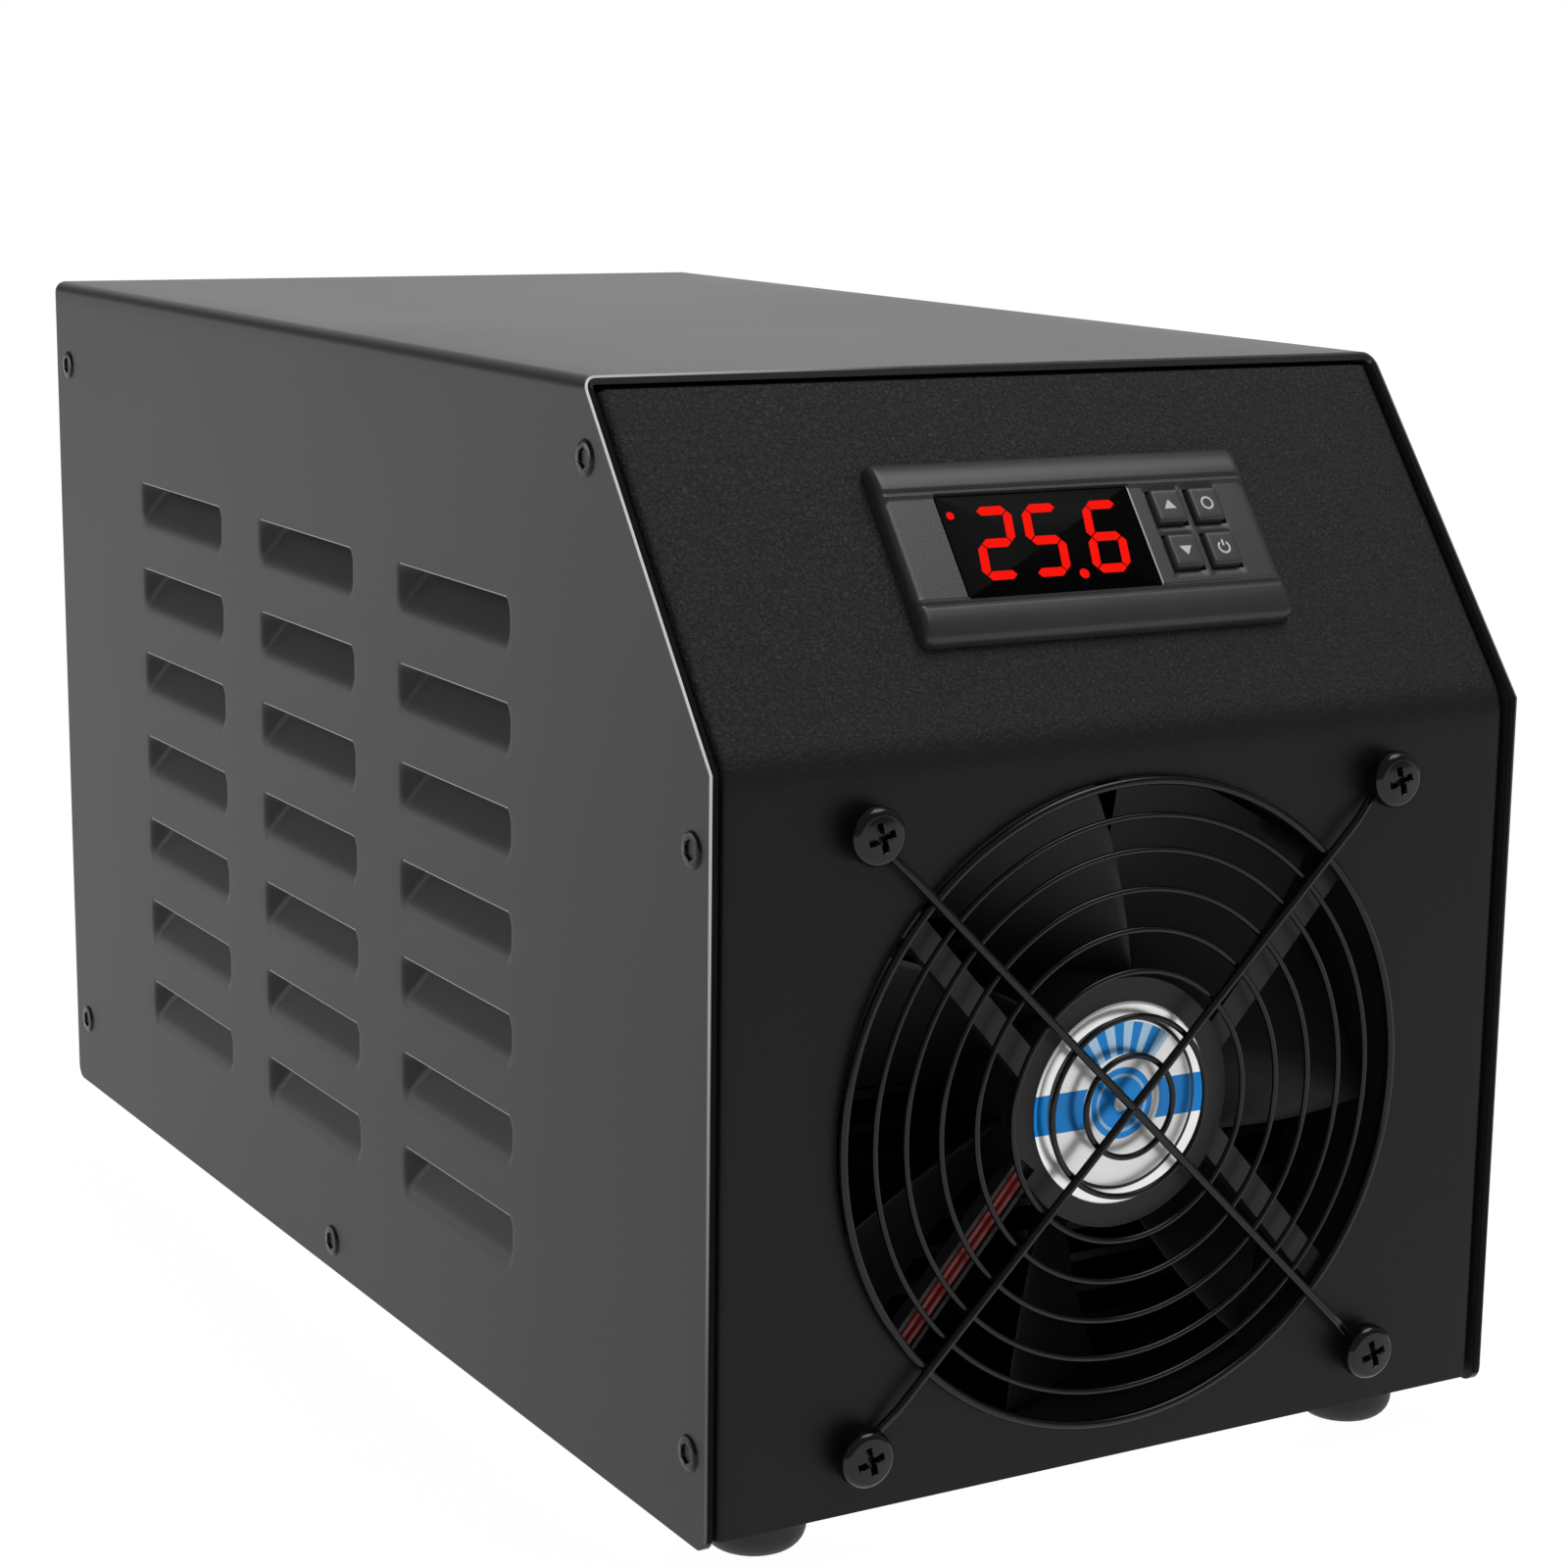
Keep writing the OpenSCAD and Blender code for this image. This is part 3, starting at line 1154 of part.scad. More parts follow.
// Power supply: a tray of sheet, a vented cover, a board with its parts and a terminal strip
psu_top_z = shelf_z + psu_h;
strip_d = 14;
strip_h = 14;
strip_n = 7;
vent_r = 2;
board_z = shelf_z + thin_t + 4 * board_t;
module psu_case() {
    color([0.76, 0.77, 0.78]) placed() difference() {
        union() {
            block([-psu_w / 2, psu_w / 2], [psu_y, psu_y + psu_d], [shelf_z + seat_gap, shelf_z + thin_t]);
            block([-psu_w / 2, psu_w / 2], [psu_y + psu_d - thin_t, psu_y + psu_d],
                  [shelf_z + seat_gap, psu_top_z - thin_t - seat_gap]);
            mirror_pair() block([psu_w / 2 - thin_t, psu_w / 2], [psu_y, psu_y + psu_d],
                                [shelf_z + seat_gap, psu_top_z - thin_t - seat_gap]);
            mirror_pair() for (y = [psu_y + strip_d * 2, psu_y + psu_d * 0.9])
                translate([psu_w * 0.36, y, shelf_z + thin_t / 2])
                    cylinder(h = board_z - shelf_z - thin_t / 2 - seat_gap, r = small_head_r);
        }
        psu_screw_places() cylinder(h = 2 * thin_t, r = small_screw_r + thread_gap);
    }
}
module psu_cover() {
    color([0.78, 0.79, 0.80]) placed() difference() {
        union() {
            block([-psu_w / 2, psu_w / 2], [psu_y + strip_d, psu_y + psu_d],
                  [psu_top_z - thin_t, psu_top_z]);
            block([thin_t + seat_gap - psu_w / 2, psu_w / 2 - thin_t - seat_gap],
                  [psu_y + strip_d, psu_y + strip_d + thin_t], [board_z + strip_h, psu_top_z]);
        }
        for (i = [-5 : 5], j = [-3 : 3]) translate([i * 5 * vent_r, psu_y + psu_d * 0.58 + j * 5 * vent_r,
                                                    psu_top_z - 2 * thin_t])
            cylinder(h = 3 * thin_t, r = vent_r, $fn = 24);
    }
}
module psu_board() {
    x = psu_w / 2 - thin_t - sheet_gap;
    top = board_z + board_t - seat_gap;
    room = psu_top_z - thin_t - board_z - 2 * board_t;
    far = psu_y + psu_d - thin_t - sheet_gap;
    color([0.10, 0.35, 0.18]) placed() {
        block([-x, x], [psu_y + sheet_gap, far], [board_z, board_z + board_t]);
        block([-x * 0.25, x * 0.25], [psu_y + psu_d * 0.42, psu_y + psu_d * 0.78], [top, top + room]);
        mirror_pair() block([x * 0.82, x * 0.88], [psu_y + psu_d * 0.32, far], [top, top + room * 0.9]);
        for (dx = [-0.55, 0.5], dy = [0.4, 0.68]) translate([dx * x, psu_y + dy * psu_d, top])
            cylinder(h = room * 0.95, r = psu_h * 0.22);
    }
}
module psu_terminals() {
    step = psu_w * 0.8 / strip_n;
    color([0.08, 0.08, 0.08]) placed() difference() {
        block([-psu_w * 0.4, psu_w * 0.4], [psu_y + sheet_gap, psu_y + strip_d - seat_gap],
              [board_z + board_t + seat_gap, board_z + strip_h - seat_gap]);
        for (i = [0 : strip_n - 1]) translate([(i + 0.5) * step - psu_w * 0.4, psu_y, board_z + strip_h / 2])
            block([-step * 0.38, step * 0.38], [-overrun, strip_d * 0.6], [0, strip_h]);
    }
}

// Mains inlet: an appliance socket under a fuse drawer and a rocker switch
body_w = 27;
body_h = 46.6;
flange_out = 3;
flange_r = 3;
inlet_wall = 1.6;
inlet_screw_x = 20;
socket_w = 24.4;
socket_h = 16.6;
socket_d = 17;
socket_drop = 13.4;
pin_w = 2;
pin_h = 4;
pin_pitch = 14;
pin_lift = 4;
drawer_w = 20;
drawer_h = 7.4;
drawer_lift = 2.6;
drawer_d = 24;
drawer_lip = 1.2;
rocker_w = 20;
rocker_h = 12.6;
rocker_lift = 15.2;
rocker_d = 13;
rocker_bow = rocker_h * sin(rocker_swing) * 0.81;
rocker_pin_r = 1.4;
fuse_r = 2.6;
fuse_len = 20;
module at_inlet() { translate([inlet_x, rear_y, inlet_z]) children(); }
module inlet_screw_places() {
    at_inlet() for (x = [-inlet_screw_x, inlet_screw_x]) translate([x, 0, 0]) children();
}
module inlet_housing() {
    color([0.05, 0.05, 0.05]) placed() difference() {
        at_inlet() {
            front_prism(seat_gap, flange_out) round_rect(inlet_w, inlet_h, flange_r);
            front_prism(-body_d, body_d + overrun) square([body_w, body_h], center = true);
        }
        at_inlet() {
            translate([0, 0, -socket_drop]) front_prism(-socket_d, socket_d + 2 * flange_out)
                polygon([[-socket_w / 2, -socket_h / 2], [socket_w / 2, -socket_h / 2],
                         [socket_w / 2, socket_h / 2 - pin_h], [socket_w / 2 - pin_h, socket_h / 2],
                         [pin_h - socket_w / 2, socket_h / 2], [-socket_w / 2, socket_h / 2 - pin_h]]);
            pin_places() front_prism(-body_d - overrun, body_d)
                square([pin_w + 2 * thread_gap, pin_h + 2 * thread_gap], center = true);
            translate([0, 0, drawer_lift]) front_prism(-drawer_d, drawer_d + 2 * flange_out)
                square([drawer_w + 2 * slide_gap, drawer_h + 2 * slide_gap], center = true);
            translate([0, 0, rocker_lift]) front_prism(-rocker_d - rocker_bow, rocker_d + 3 * flange_out)
                square([rocker_w + 2 * slide_gap, rocker_h + 2 * slide_gap], center = true);
            translate([-rocker_w / 2 - rocker_pin_r, rocker_axis_y, rocker_lift])
                along_x(rocker_w + 2 * rocker_pin_r, rocker_pin_r + thread_gap);
        }
        inlet_screw_places() translate([0, -overrun, 0]) {
            along_y(flange_out + 2 * overrun, small_screw_r + slide_gap);
            translate([0, overrun + flange_out - small_head_h / 2, 0])
                along_y(flange_out, small_head_r + slide_gap);
        }
    }
}
rocker_axis_y = -flange_out;
module pin_places() {
    at_socket() {
        for (x = [-pin_pitch / 2, pin_pitch / 2]) translate([x, 0, -pin_lift / 2]) children();
        translate([0, 0, pin_lift / 2]) children();
    }
}
module at_socket() { translate([0, 0, -socket_drop]) children(); }
module inlet_pins() {
    color([0.80, 0.80, 0.82]) placed() at_inlet() pin_places()
        front_prism(-body_d - pin_len / 2, body_d + pin_len / 2 - socket_d + pin_len)
            square([pin_w, pin_h], center = true);
}
module inlet_screws() {
    color([0.06, 0.06, 0.06]) placed() inlet_screw_places()
        translate([0, flange_out - small_head_h / 2 + 2 * seat_gap, 0]) rotate([90, 0, 0])
            mirror([0, 0, 1]) small_screw(2 * flange_out);
}
// The rocker turns about a pin through its middle and is drawn with its upper half pressed in
module rocker_switch() {
    half = rocker_h / 2 - slide_gap;
    face = flange_out + rocker_bow - rocker_axis_y;
    color([0.08, 0.08, 0.08]) placed() at_inlet() translate([0, rocker_axis_y, rocker_lift])
        rotate([rocker_swing, 0, 0]) {
            side_prism(-rocker_w / 2 + slide_gap, rocker_w - 2 * slide_gap) polygon([
                [face - rocker_bow * 0.4, -half * 0.85], [face + rocker_bow * 0.2, -half * 0.5],
                [face - rocker_bow * 0.6, 0], [face + rocker_bow * 0.2, half * 0.5],
                [face - rocker_bow * 0.4, half * 0.85], [0, half * 0.93], [-rocker_d * 0.35, half * 0.6],
                [-rocker_d * 0.45, 0], [-rocker_d * 0.35, -half * 0.6], [0, -half * 0.93]]);
            translate([-rocker_w / 2 - rocker_pin_r * 0.9, 0, 0])
                along_x(rocker_w + rocker_pin_r * 1.8, rocker_pin_r);
        }
}
module fuse_drawer() {
    color([0.07, 0.07, 0.07]) placed() at_inlet() translate([0, 0, drawer_lift]) difference() {
        union() {
            front_prism(2 * seat_gap - drawer_d, drawer_d + flange_out + seat_gap)
                square([drawer_w, drawer_h], center = true);
            front_prism(flange_out + 2 * seat_gap, drawer_lip)
                round_rect(drawer_w + drawer_lip, drawer_h + drawer_lip, drawer_lip / 2);
        }
        block([-drawer_w, drawer_w] * 0.35, [-fuse_len - inlet_wall, 0], [-fuse_r - slide_gap, drawer_h]);
        block([-drawer_w, drawer_w] * 0.2, [flange_out + drawer_lip / 2, 2 * flange_out + drawer_lip],
              [-drawer_h * 0.3, drawer_h * 0.1]);
    }
}
module fuse() {
    start = -fuse_len - inlet_wall + slide_gap;
    cap = fuse_len * 0.25;
    color([0.85, 0.86, 0.86]) placed() at_inlet() translate([0, start, drawer_lift + seat_gap]) {
        along_y(fuse_len - 2 * slide_gap, fuse_r * 0.9);
        for (y = [0, fuse_len - 2 * slide_gap - cap]) translate([0, y, 0]) along_y(cap, fuse_r);
    }
}

// Internal leads, each held at both ends: their places are measured like the cabinet's own
wire_r = 1;
lead_y = fan_face_y + strut_t / 4;
function along_strut(s, y) = [fan_x - strut_from[0] - s * strut_dir[0], y,
                              fan_z - strut_from[1] - s * strut_dir[1]];
slot_s = norm(lead_slot - strut_from);
module_at = [module_x + module_side / 2, module_y + module_t / 2, sink_z];
foam_at = [block_w / 2 + sheet_gap + foam_t, block_end_y, sink_z];
strip_at = [0, psu_y, shelf_z];
pin_at = [inlet_x, psu_y + psu_d, inlet_z];
probe_at = [0, block_y + block_t * 0.8, sink_z + block_h / 2];
// Points named by their steps from one of the places above
function steps_from(at, steps) = [for (s = steps) at + s];
strut_start = 2;
slot_near = 3.6;
slot_far = 1.6;
slot_lift = 1.5;
fan_side_run = [[-49, 7, 22.4], [-52, 12, 21.5], [-60, 14.6, 21], [-65.5, 21, 21], [-66, 36, 21],
                [-66, 75, 21], [-66, 110, 21], [-66, 138, 22], [-62, 152, 34]];
fan_end = [[-54, -13.5, -58], [-50, -11.5, -23], [-46, -10, 6], [-44.8, -5, 15], [-44.8, 3, 16.8]];
fan_route = concat([along_strut(strut_start, lead_y), along_strut(slot_s / 2, lead_y),
                    along_strut(slot_s - slot_near, lead_y),
                    along_strut(slot_s - slot_far, lead_y + slot_lift)],
                   fan_side_run, steps_from(strip_at, fan_end));
fan_pair_step = [lead_pitch * strut_dir[1], 0, -lead_pitch * strut_dir[0]];
low_lead_start = [[0.1, 0, -1], [9.5, 0, -1]];
low_lead_round = [[0.7, -19.8, -0.6], [5.7, -15.1, 1.4], [7.2, -0.1, 4.4], [5.7, 13.9, 12.4],
                     [-0.3, 29.9, 31.4]];
low_lead_end = [[53, -15.5, -10], [48, -10, 8], [45, -5, 15.4], [44.2, 3, 15.8]];
low_lead_route = concat(steps_from(module_at, low_lead_start), steps_from(foam_at, low_lead_round),
                           steps_from(strip_at, low_lead_end));
high_lead_start = [[0.1, 0, 1.6], [9.5, 0, 1.6]];
high_lead_round = [[0.7, -19.8, 2.4], [3.7, -14.1, 4.4], [4.2, -0.1, 8.4], [2.7, 13.9, 15.4],
                      [-5.3, 29.9, 37.4]];
high_lead_end = [[45, -15.5, -6], [36, -10, 9], [31, -5, 15.4], [29.5, 3, 15.8]];
high_lead_route = concat(steps_from(module_at, high_lead_start), steps_from(foam_at, high_lead_round),
                            steps_from(strip_at, high_lead_end));
live_start = [[-7, 7.3, -15.4], [-7, -1.5, -15.2], [-6, -24.5, -13]];
live_end = [[-38, 32.5, -11], [-35, -0.5, -10], [-32, -10.5, -4], [-30, -12, 8], [-29.5, -5, 15.4],
            [-29.5, 3, 15.8]];
live_route = concat(steps_from(pin_at, live_start), steps_from(strip_at, live_end));
neutral_start = [[7, 7.3, -15.4], [7, -1.5, -15.2], [8, -24.5, -13]];
neutral_end = [[-24, 32.5, -11], [-20, -0.5, -10], [-17, -10.5, -4], [-15, -12, 8],
               [-14.7, -5, 15.4], [-14.7, 3, 15.8]];
neutral_route = concat(steps_from(pin_at, neutral_start), steps_from(strip_at, neutral_end));
probe_start = [[0, 0, 5.4], [0, 0, 16.4], [1, -3.5, 23.4], [3, -11.5, 27.4]];
probe_end = [[4.5, 90, 106.5], [4.75, 84.2, 109.6], [4.75, 77.9, 114.5], [4.75, 71.6, 119.3]];
probe_route = concat(steps_from(probe_at, probe_start), probe_end);
probe_lead_r = 1.2;
module fan_lead() {
    color([0.6, 0.05, 0.05]) placed() for (s = [-0.5, 0.5])
        sweep([for (p = smooth(fan_route, 2)) p + s * fan_pair_step], lead_r, 6);
}
module module_leads() {
    color([0.6, 0.05, 0.05]) placed() for (r = [low_lead_route, high_lead_route])
        sweep(smooth(r, 2), wire_r, 6);
}
module mains_leads() {
    color([0.1, 0.1, 0.1]) placed() for (r = [live_route, neutral_route])
        sweep(smooth(r, 2), wire_r, 6);
}

cover_top();
cover_left();
cover_right();
front_panel();
base_tray();
rear_panel();
cover_screws();
panel_rivets();
feet();
foot_screws();
foot_nuts();
fan_guard();
fan_screws();
fan_nuts();
fan_frame();
fan_label();
fan_bearings();
fan_windings();
fan_board();
fan_rotor();
fan_magnet();
fan_shaft();
fan_lead();
module_leads();
mains_leads();
controller_bezel();
controller_case();
display_window();
display_module();
controller_board();
controller_clips();
controller_terminals();
button_up();
button_down();
button_set();
button_power();
heat_sink();
sink_brackets();
sink_screws();
peltier_modules();
cold_block();
insulation_foam();
water_tubes();
hose_clamps();
hose_barbs();
barb_seals();
barb_nuts();
psu_shelf();
shelf_screws();
psu_case();
psu_cover();
psu_board();
psu_terminals();
inlet_housing();
inlet_pins();
inlet_screws();
rocker_switch();
fuse_drawer();
fuse();
temperature_probe();
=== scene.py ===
"""Aquarium chiller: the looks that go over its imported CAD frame, laid out as an add-on.

The frame gives the moving bodies and the places of all parts. Each operator makes one piece or
one group of like pieces. Shapes are worked out in millimetres and put into the mesh in metres.
"""

from math import atan2, cos, hypot, pi, radians, sin, sqrt, tan
from types import SimpleNamespace

import bmesh
import bpy
import numpy as np
from mathutils import Matrix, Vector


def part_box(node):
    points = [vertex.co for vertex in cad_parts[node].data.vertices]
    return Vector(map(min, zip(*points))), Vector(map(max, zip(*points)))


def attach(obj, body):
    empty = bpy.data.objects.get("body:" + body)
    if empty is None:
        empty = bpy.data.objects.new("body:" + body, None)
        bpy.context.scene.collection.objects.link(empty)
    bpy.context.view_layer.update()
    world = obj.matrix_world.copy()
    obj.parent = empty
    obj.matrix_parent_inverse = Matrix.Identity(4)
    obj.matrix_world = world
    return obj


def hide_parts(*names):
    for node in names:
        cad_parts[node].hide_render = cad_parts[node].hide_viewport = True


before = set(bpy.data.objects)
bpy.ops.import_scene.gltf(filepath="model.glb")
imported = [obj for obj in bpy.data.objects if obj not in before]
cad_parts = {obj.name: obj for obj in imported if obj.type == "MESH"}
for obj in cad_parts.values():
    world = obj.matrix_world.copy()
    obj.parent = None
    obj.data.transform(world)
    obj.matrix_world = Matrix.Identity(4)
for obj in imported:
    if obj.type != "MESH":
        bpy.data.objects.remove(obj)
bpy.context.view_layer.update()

bl_info = {
    "name": "Aquarium Chiller",
    "version": (1, 0, 0),
    "blender": (4, 5, 0),
    "location": "3D View > Sidebar > Chiller",
    "description": "Builds the visible pieces and finishes of a small aquarium chiller",
    "category": "Add Mesh",
}

# The cover's front edge and lower edge, in millimetres, from which all places are measured
FRONT = float(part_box("cover_left")[0][1]) * 1000
LOW = float(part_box("cover_left")[0][2]) * 1000


# Sizes and colours

def length(name, about, value):
    """A length in metres, given here in millimetres."""
    return bpy.props.FloatProperty(name=name, description=about, default=value / 1000, unit="LENGTH",
                                   precision=5)


def ratio(name, about, value):
    return bpy.props.FloatProperty(name=name, description=about, default=value)


def count(name, about, value, low, high):
    return bpy.props.IntProperty(name=name, description=about, default=value, min=low, max=high)


def colour(name, about, value):
    return bpy.props.FloatVectorProperty(name=name, description=about, default=value, size=3, subtype="COLOR",
                                         min=0.0, max=1.0)


class CabinetSizes(bpy.types.PropertyGroup):
    """Sizes of the cover and the front panel."""
    width: length("Width", "Over both sides of the cover", 163)
    depth: length("Depth", "Front edge to rear edge of the cover", 315)
    height: length("Height", "Cover alone, without the feet", 187)
    slope_foot: length("Slope foot", "Height of the bend below the sloped face", 129)
    slope_run: length("Slope run", "How far the slope runs back", 45)
    sheet: length("Sheet", "Thickness of the sheet", 1.5)
    bend: length("Bend", "Outer radius of the cover's top edges", 2.4)
    corner: length("Corner", "Radius of the sides' lower corners", 3)
    panel_bend: length("Panel bend", "Radius of the front panel's edges", 1.7)
    top_fold: length("Top fold", "Depth of the fold that closes the gap along the front panel's top", 6.0)
    crease: length("Crease", "Radius of the bend below the sloped face", 12)
    inset: length("Inset", "How far the panel lies behind the rim", 0.5)
    sill: length("Sill", "Panel's lower edge above the cover's", 1.5)
    gap: length("Gap", "Between the cover's sides and the panel", 0.8)


class LouvreSizes(bpy.types.PropertyGroup):
    """Sizes and places of the louvres in both sides."""
    columns: count("Columns", "Louvres along a side", 3, 1, 3)
    rows: count("Rows", "Louvres up a side", 7, 1, 7)
    width: length("Width", "Length of one louvre", 49)
    height: length("Height", "Height of one louvre", 10.3)
    depth: length("Depth", "How far a louvre is pressed in", 4.5)
    pitch_y: length("Column pitch", "Between neighbouring columns", 69.4)
    pitch_z: length("Row pitch", "Between neighbouring rows", 18.5)
    first_y: length("First column", "Front edge to the first column's middle", 96.9)
    top_z: length("Top row", "Upper edge of the top row above the cover's lower edge", 147)
    corner: length("Corner", "Radius of a louvre's lower corners", 4.6)
    lip_corner: length("Lip corner", "Radius of a louvre's upper front corner", 2.6)
    soft: length("Soft edge", "Height over which the floor runs out", 3.0)
    front_slope: ratio("Front slope", "Steepness of the front end", 1.3)
    rear_slope: ratio("Rear slope", "Steepness of the rear end", 0.75)


class FanSizes(bpy.types.PropertyGroup):
    """Sizes of the fan and its guard."""
    axis_x: length("Axis X", "Sideways place of the axis", -0.5)
    axis_z: length("Axis Z", "Height of the axis above the cover's lower edge", 64.8)
    opening: length("Opening", "Radius of the air opening", 57)
    pitch: length("Screw pitch", "Between neighbouring screws", 105)
    ring: length("Ring", "Radius of the outer ring", 56.4)
    thin_wire: length("Thin wire", "Radius of the inner rings' wire", 0.55)
    thick_wire: length("Thick wire", "Radius of the spokes' wire", 0.78)
    ring_y: length("Ring plane", "Middle of the rings' wire behind the cover's front edge", -0.65)
    eye: length("Eye", "Radius of the spokes' eyes round the screws", 3.25)
    sink: length("Sink", "Length over which a spoke sinks to the rings' plane", 7.5)
    screw_r: length("Screw head", "Radius of a guard screw's head", 5)
    screw_h: length("Screw head height", "Height of a guard screw's head", 3.2)
    screw_y: length("Screw seat", "Foot of the heads behind the cover's front edge", -1.78)
    cross: length("Cross", "Length of one arm of the heads' cross recess", 2.3)
    cross_w: length("Cross width", "Width of the cross recess's arms", 1)
    cross_d: length("Cross depth", "Depth of the cross recess", 1.5)
    hub: length("Hub", "Radius of the turning cup", 21.3)
    tip: length("Tip", "Radius of the blades' tips", 57)
    chord: length("Chord", "Width of a blade at its tip", 37)
    blade: length("Blade", "Thickness of a blade", 1.7)
    blades: count("Blades", "Number of blades", 7, 3, 9)


class ControllerSizes(bpy.types.PropertyGroup):
    """Sizes of the control face on the slope."""
    width: length("Width", "Width of the face", 75)
    height: length("Height", "Height of the face", 34.5)
    stand: length("Stand", "How far the bands stand proud of the slope", 3.2)
    place_x: length("Place X", "Sideways place of the middle", 1.5)
    place_u: length("Place up", "Distance up the slope to the middle", 36)
    window_x: length("Window X", "Window's middle from the face's middle", -7.4)
    window_w: length("Window width", "Width of the display window", 39)
    window_h: length("Window height", "Height of the display window", 19.8)
    pane: length("Pane", "Window's face over the slope", 2.66)
    button_w: length("Button width", "Width of a button", 6.2)
    button_h: length("Button height", "Height of a button", 6.5)
    button_stand: length("Button stand", "How far a button stands out of the face", 1.1)
    digit: length("Digit", "Height of the digits", 14.1)
    digit_w: length("Digit width", "Width of a digit", 7.8)
    bar: length("Bar", "Width of a digit's segments", 1.7)
    face_out: length("Face", "Middle of the control face over the slope", 2.7)
    print_t: length("Print", "Thickness of digits and key marks", 0.03)


class Finishes(bpy.types.PropertyGroup):
    """Colours of the main finishes."""
    cover: colour("Cover", "Powder coat of the cover", (0.028, 0.0285, 0.029))
    panel: colour("Panel", "Powder coat of the front and rear panels", (0.0085, 0.0088, 0.0093))
    gloss: colour("Gloss black", "Guard and its screws", (0.004, 0.004, 0.0044))
    plastic: colour("Fan plastic", "Fan frame and blades", (0.016, 0.016, 0.017))
    face: colour("Control face", "Frame round the display", (0.045, 0.0455, 0.0485))
    keys: colour("Keys", "Buttons of the controller", (0.060, 0.061, 0.064))
    digits: colour("Digits", "Lit segments of the display", (1.0, 0.012, 0.006))
    label_blue: colour("Label blue", "Band on the fan's label", (0.008, 0.21, 0.60))
    label_silver: colour("Label silver", "Ground of the fan's label", (0.92, 0.92, 0.91))


def mm(group):
    """The group's lengths in millimetres, and its other values as they are."""
    values = {}
    for prop in group.bl_rna.properties:
        if prop.identifier in ("rna_type", "name"):
            continue
        value = getattr(group, prop.identifier)
        values[prop.identifier] = value * 1000 if getattr(prop, "unit", "NONE") == "LENGTH" else value
    return SimpleNamespace(**values)


# Surfaces

def points(x, y, z):
    """Points in metres in the shared frame. x, y and z are in millimetres, measured from the cover's
    middle plane, back from its front edge and up from its lower edge."""
    x, y, z = np.broadcast_arrays(x, y, z)
    return np.stack([x, y + FRONT, z + LOW], axis=-1).astype(float) / 1000


def quads(rows, cols, close_rows=False, close_cols=False, keep=None):
    """Four-sided faces between neighbours of a grid of rows x cols points, numbered row by row.
    keep is a grid of flags, one for each face."""
    i = np.arange(rows if close_rows else rows - 1)[:, None]
    j = np.arange(cols if close_cols else cols - 1)[None, :]
    below, beside = (i + 1) % rows, (j + 1) % cols
    faces = np.stack([i * cols + j, i * cols + beside, below * cols + beside, below * cols + j], axis=-1)
    return faces[keep] if keep is not None else faces.reshape(-1, 4)


def grid(p, close_rows=False, close_cols=False, keep=None, flip=False):
    """A surface from a grid of points p[row, column]."""
    faces = quads(p.shape[0], p.shape[1], close_rows, close_cols, keep)
    return p.reshape(-1, 3), (faces[:, ::-1] if flip else faces)


def fan_cap(ring, flip=False):
    """Closes a ring of points with triangles round its middle."""
    n = len(ring)
    i = np.arange(n)
    faces = np.stack([i, (i + 1) % n, np.full(n, n)], axis=-1)
    return np.vstack([ring, ring.mean(axis=0)]), (faces[:, ::-1] if flip else faces)


def turned(profile, steps):
    """Surface of revolution: each (radius, height) of the profile is carried round the Z axis.
    A point is (radius cos a, radius sin a, height)."""
    a = np.arange(steps) * 2 * pi / steps
    r, h = np.array(profile, dtype=float).T
    return np.stack([r[:, None] * np.cos(a), r[:, None] * np.sin(a), h[:, None] + 0 * a], axis=-1)


def swept(path, radius, closed=False):
    """A round wire: a circle of the given radius carried along the path, square to it. The circle's
    own axes are the path's heading crossed with a fixed direction, so the wire doesn't twist."""
    sides = 14
    if closed:
        heading = np.roll(path, -1, axis=0) - np.roll(path, 1, axis=0)
    else:
        heading = np.gradient(path, axis=0)
    heading /= np.linalg.norm(heading, axis=1, keepdims=True)
    side = np.cross(heading, [0.0, 1.0, 0.0])
    side /= np.linalg.norm(side, axis=1, keepdims=True)
    other = np.cross(side, heading)
    a = np.arange(sides) * 2 * pi / sides
    return path[:, None, :] + radius * (np.cos(a)[None, :, None] * side[:, None, :]
                                        + np.sin(a)[None, :, None] * other[:, None, :])


def smooth_step(t):
    """0 below 0 and 1 above 1, with level ends: 3 t^2 - 2 t^3 between."""
    t = np.clip(t, 0, 1)
    return t * t * (3 - 2 * t)


def rounded_outline(w, h, r):
    """Points round a rectangle with round corners, about its middle, one quarter circle at each."""
    r = min(r, w / 2 - 1e-3, h / 2 - 1e-3)
    a = np.linspace(0, pi / 2, 6)
    corner = np.stack([np.cos(a) * r, np.sin(a) * r], axis=-1)
    out = []
    for k, (sx, sz) in enumerate([(1, 1), (-1, 1), (-1, -1), (1, -1)]):
        c, s = cos(k * pi / 2), sin(k * pi / 2)
        out.append(corner @ np.array([[c, s], [-s, c]]) + [sx * (w / 2 - r), sz * (h / 2 - r)])
    return np.vstack(out)


def joined(parts):
    """Several surfaces as one list of points and one of faces."""
    verts, faces, start = [], [], 0
    for p, f in parts:
        verts.append(np.asarray(p, dtype=float).reshape(-1, 3))
        faces.extend((np.asarray(f) + start).tolist())
        start += len(verts[-1])
    return np.vstack(verts), faces


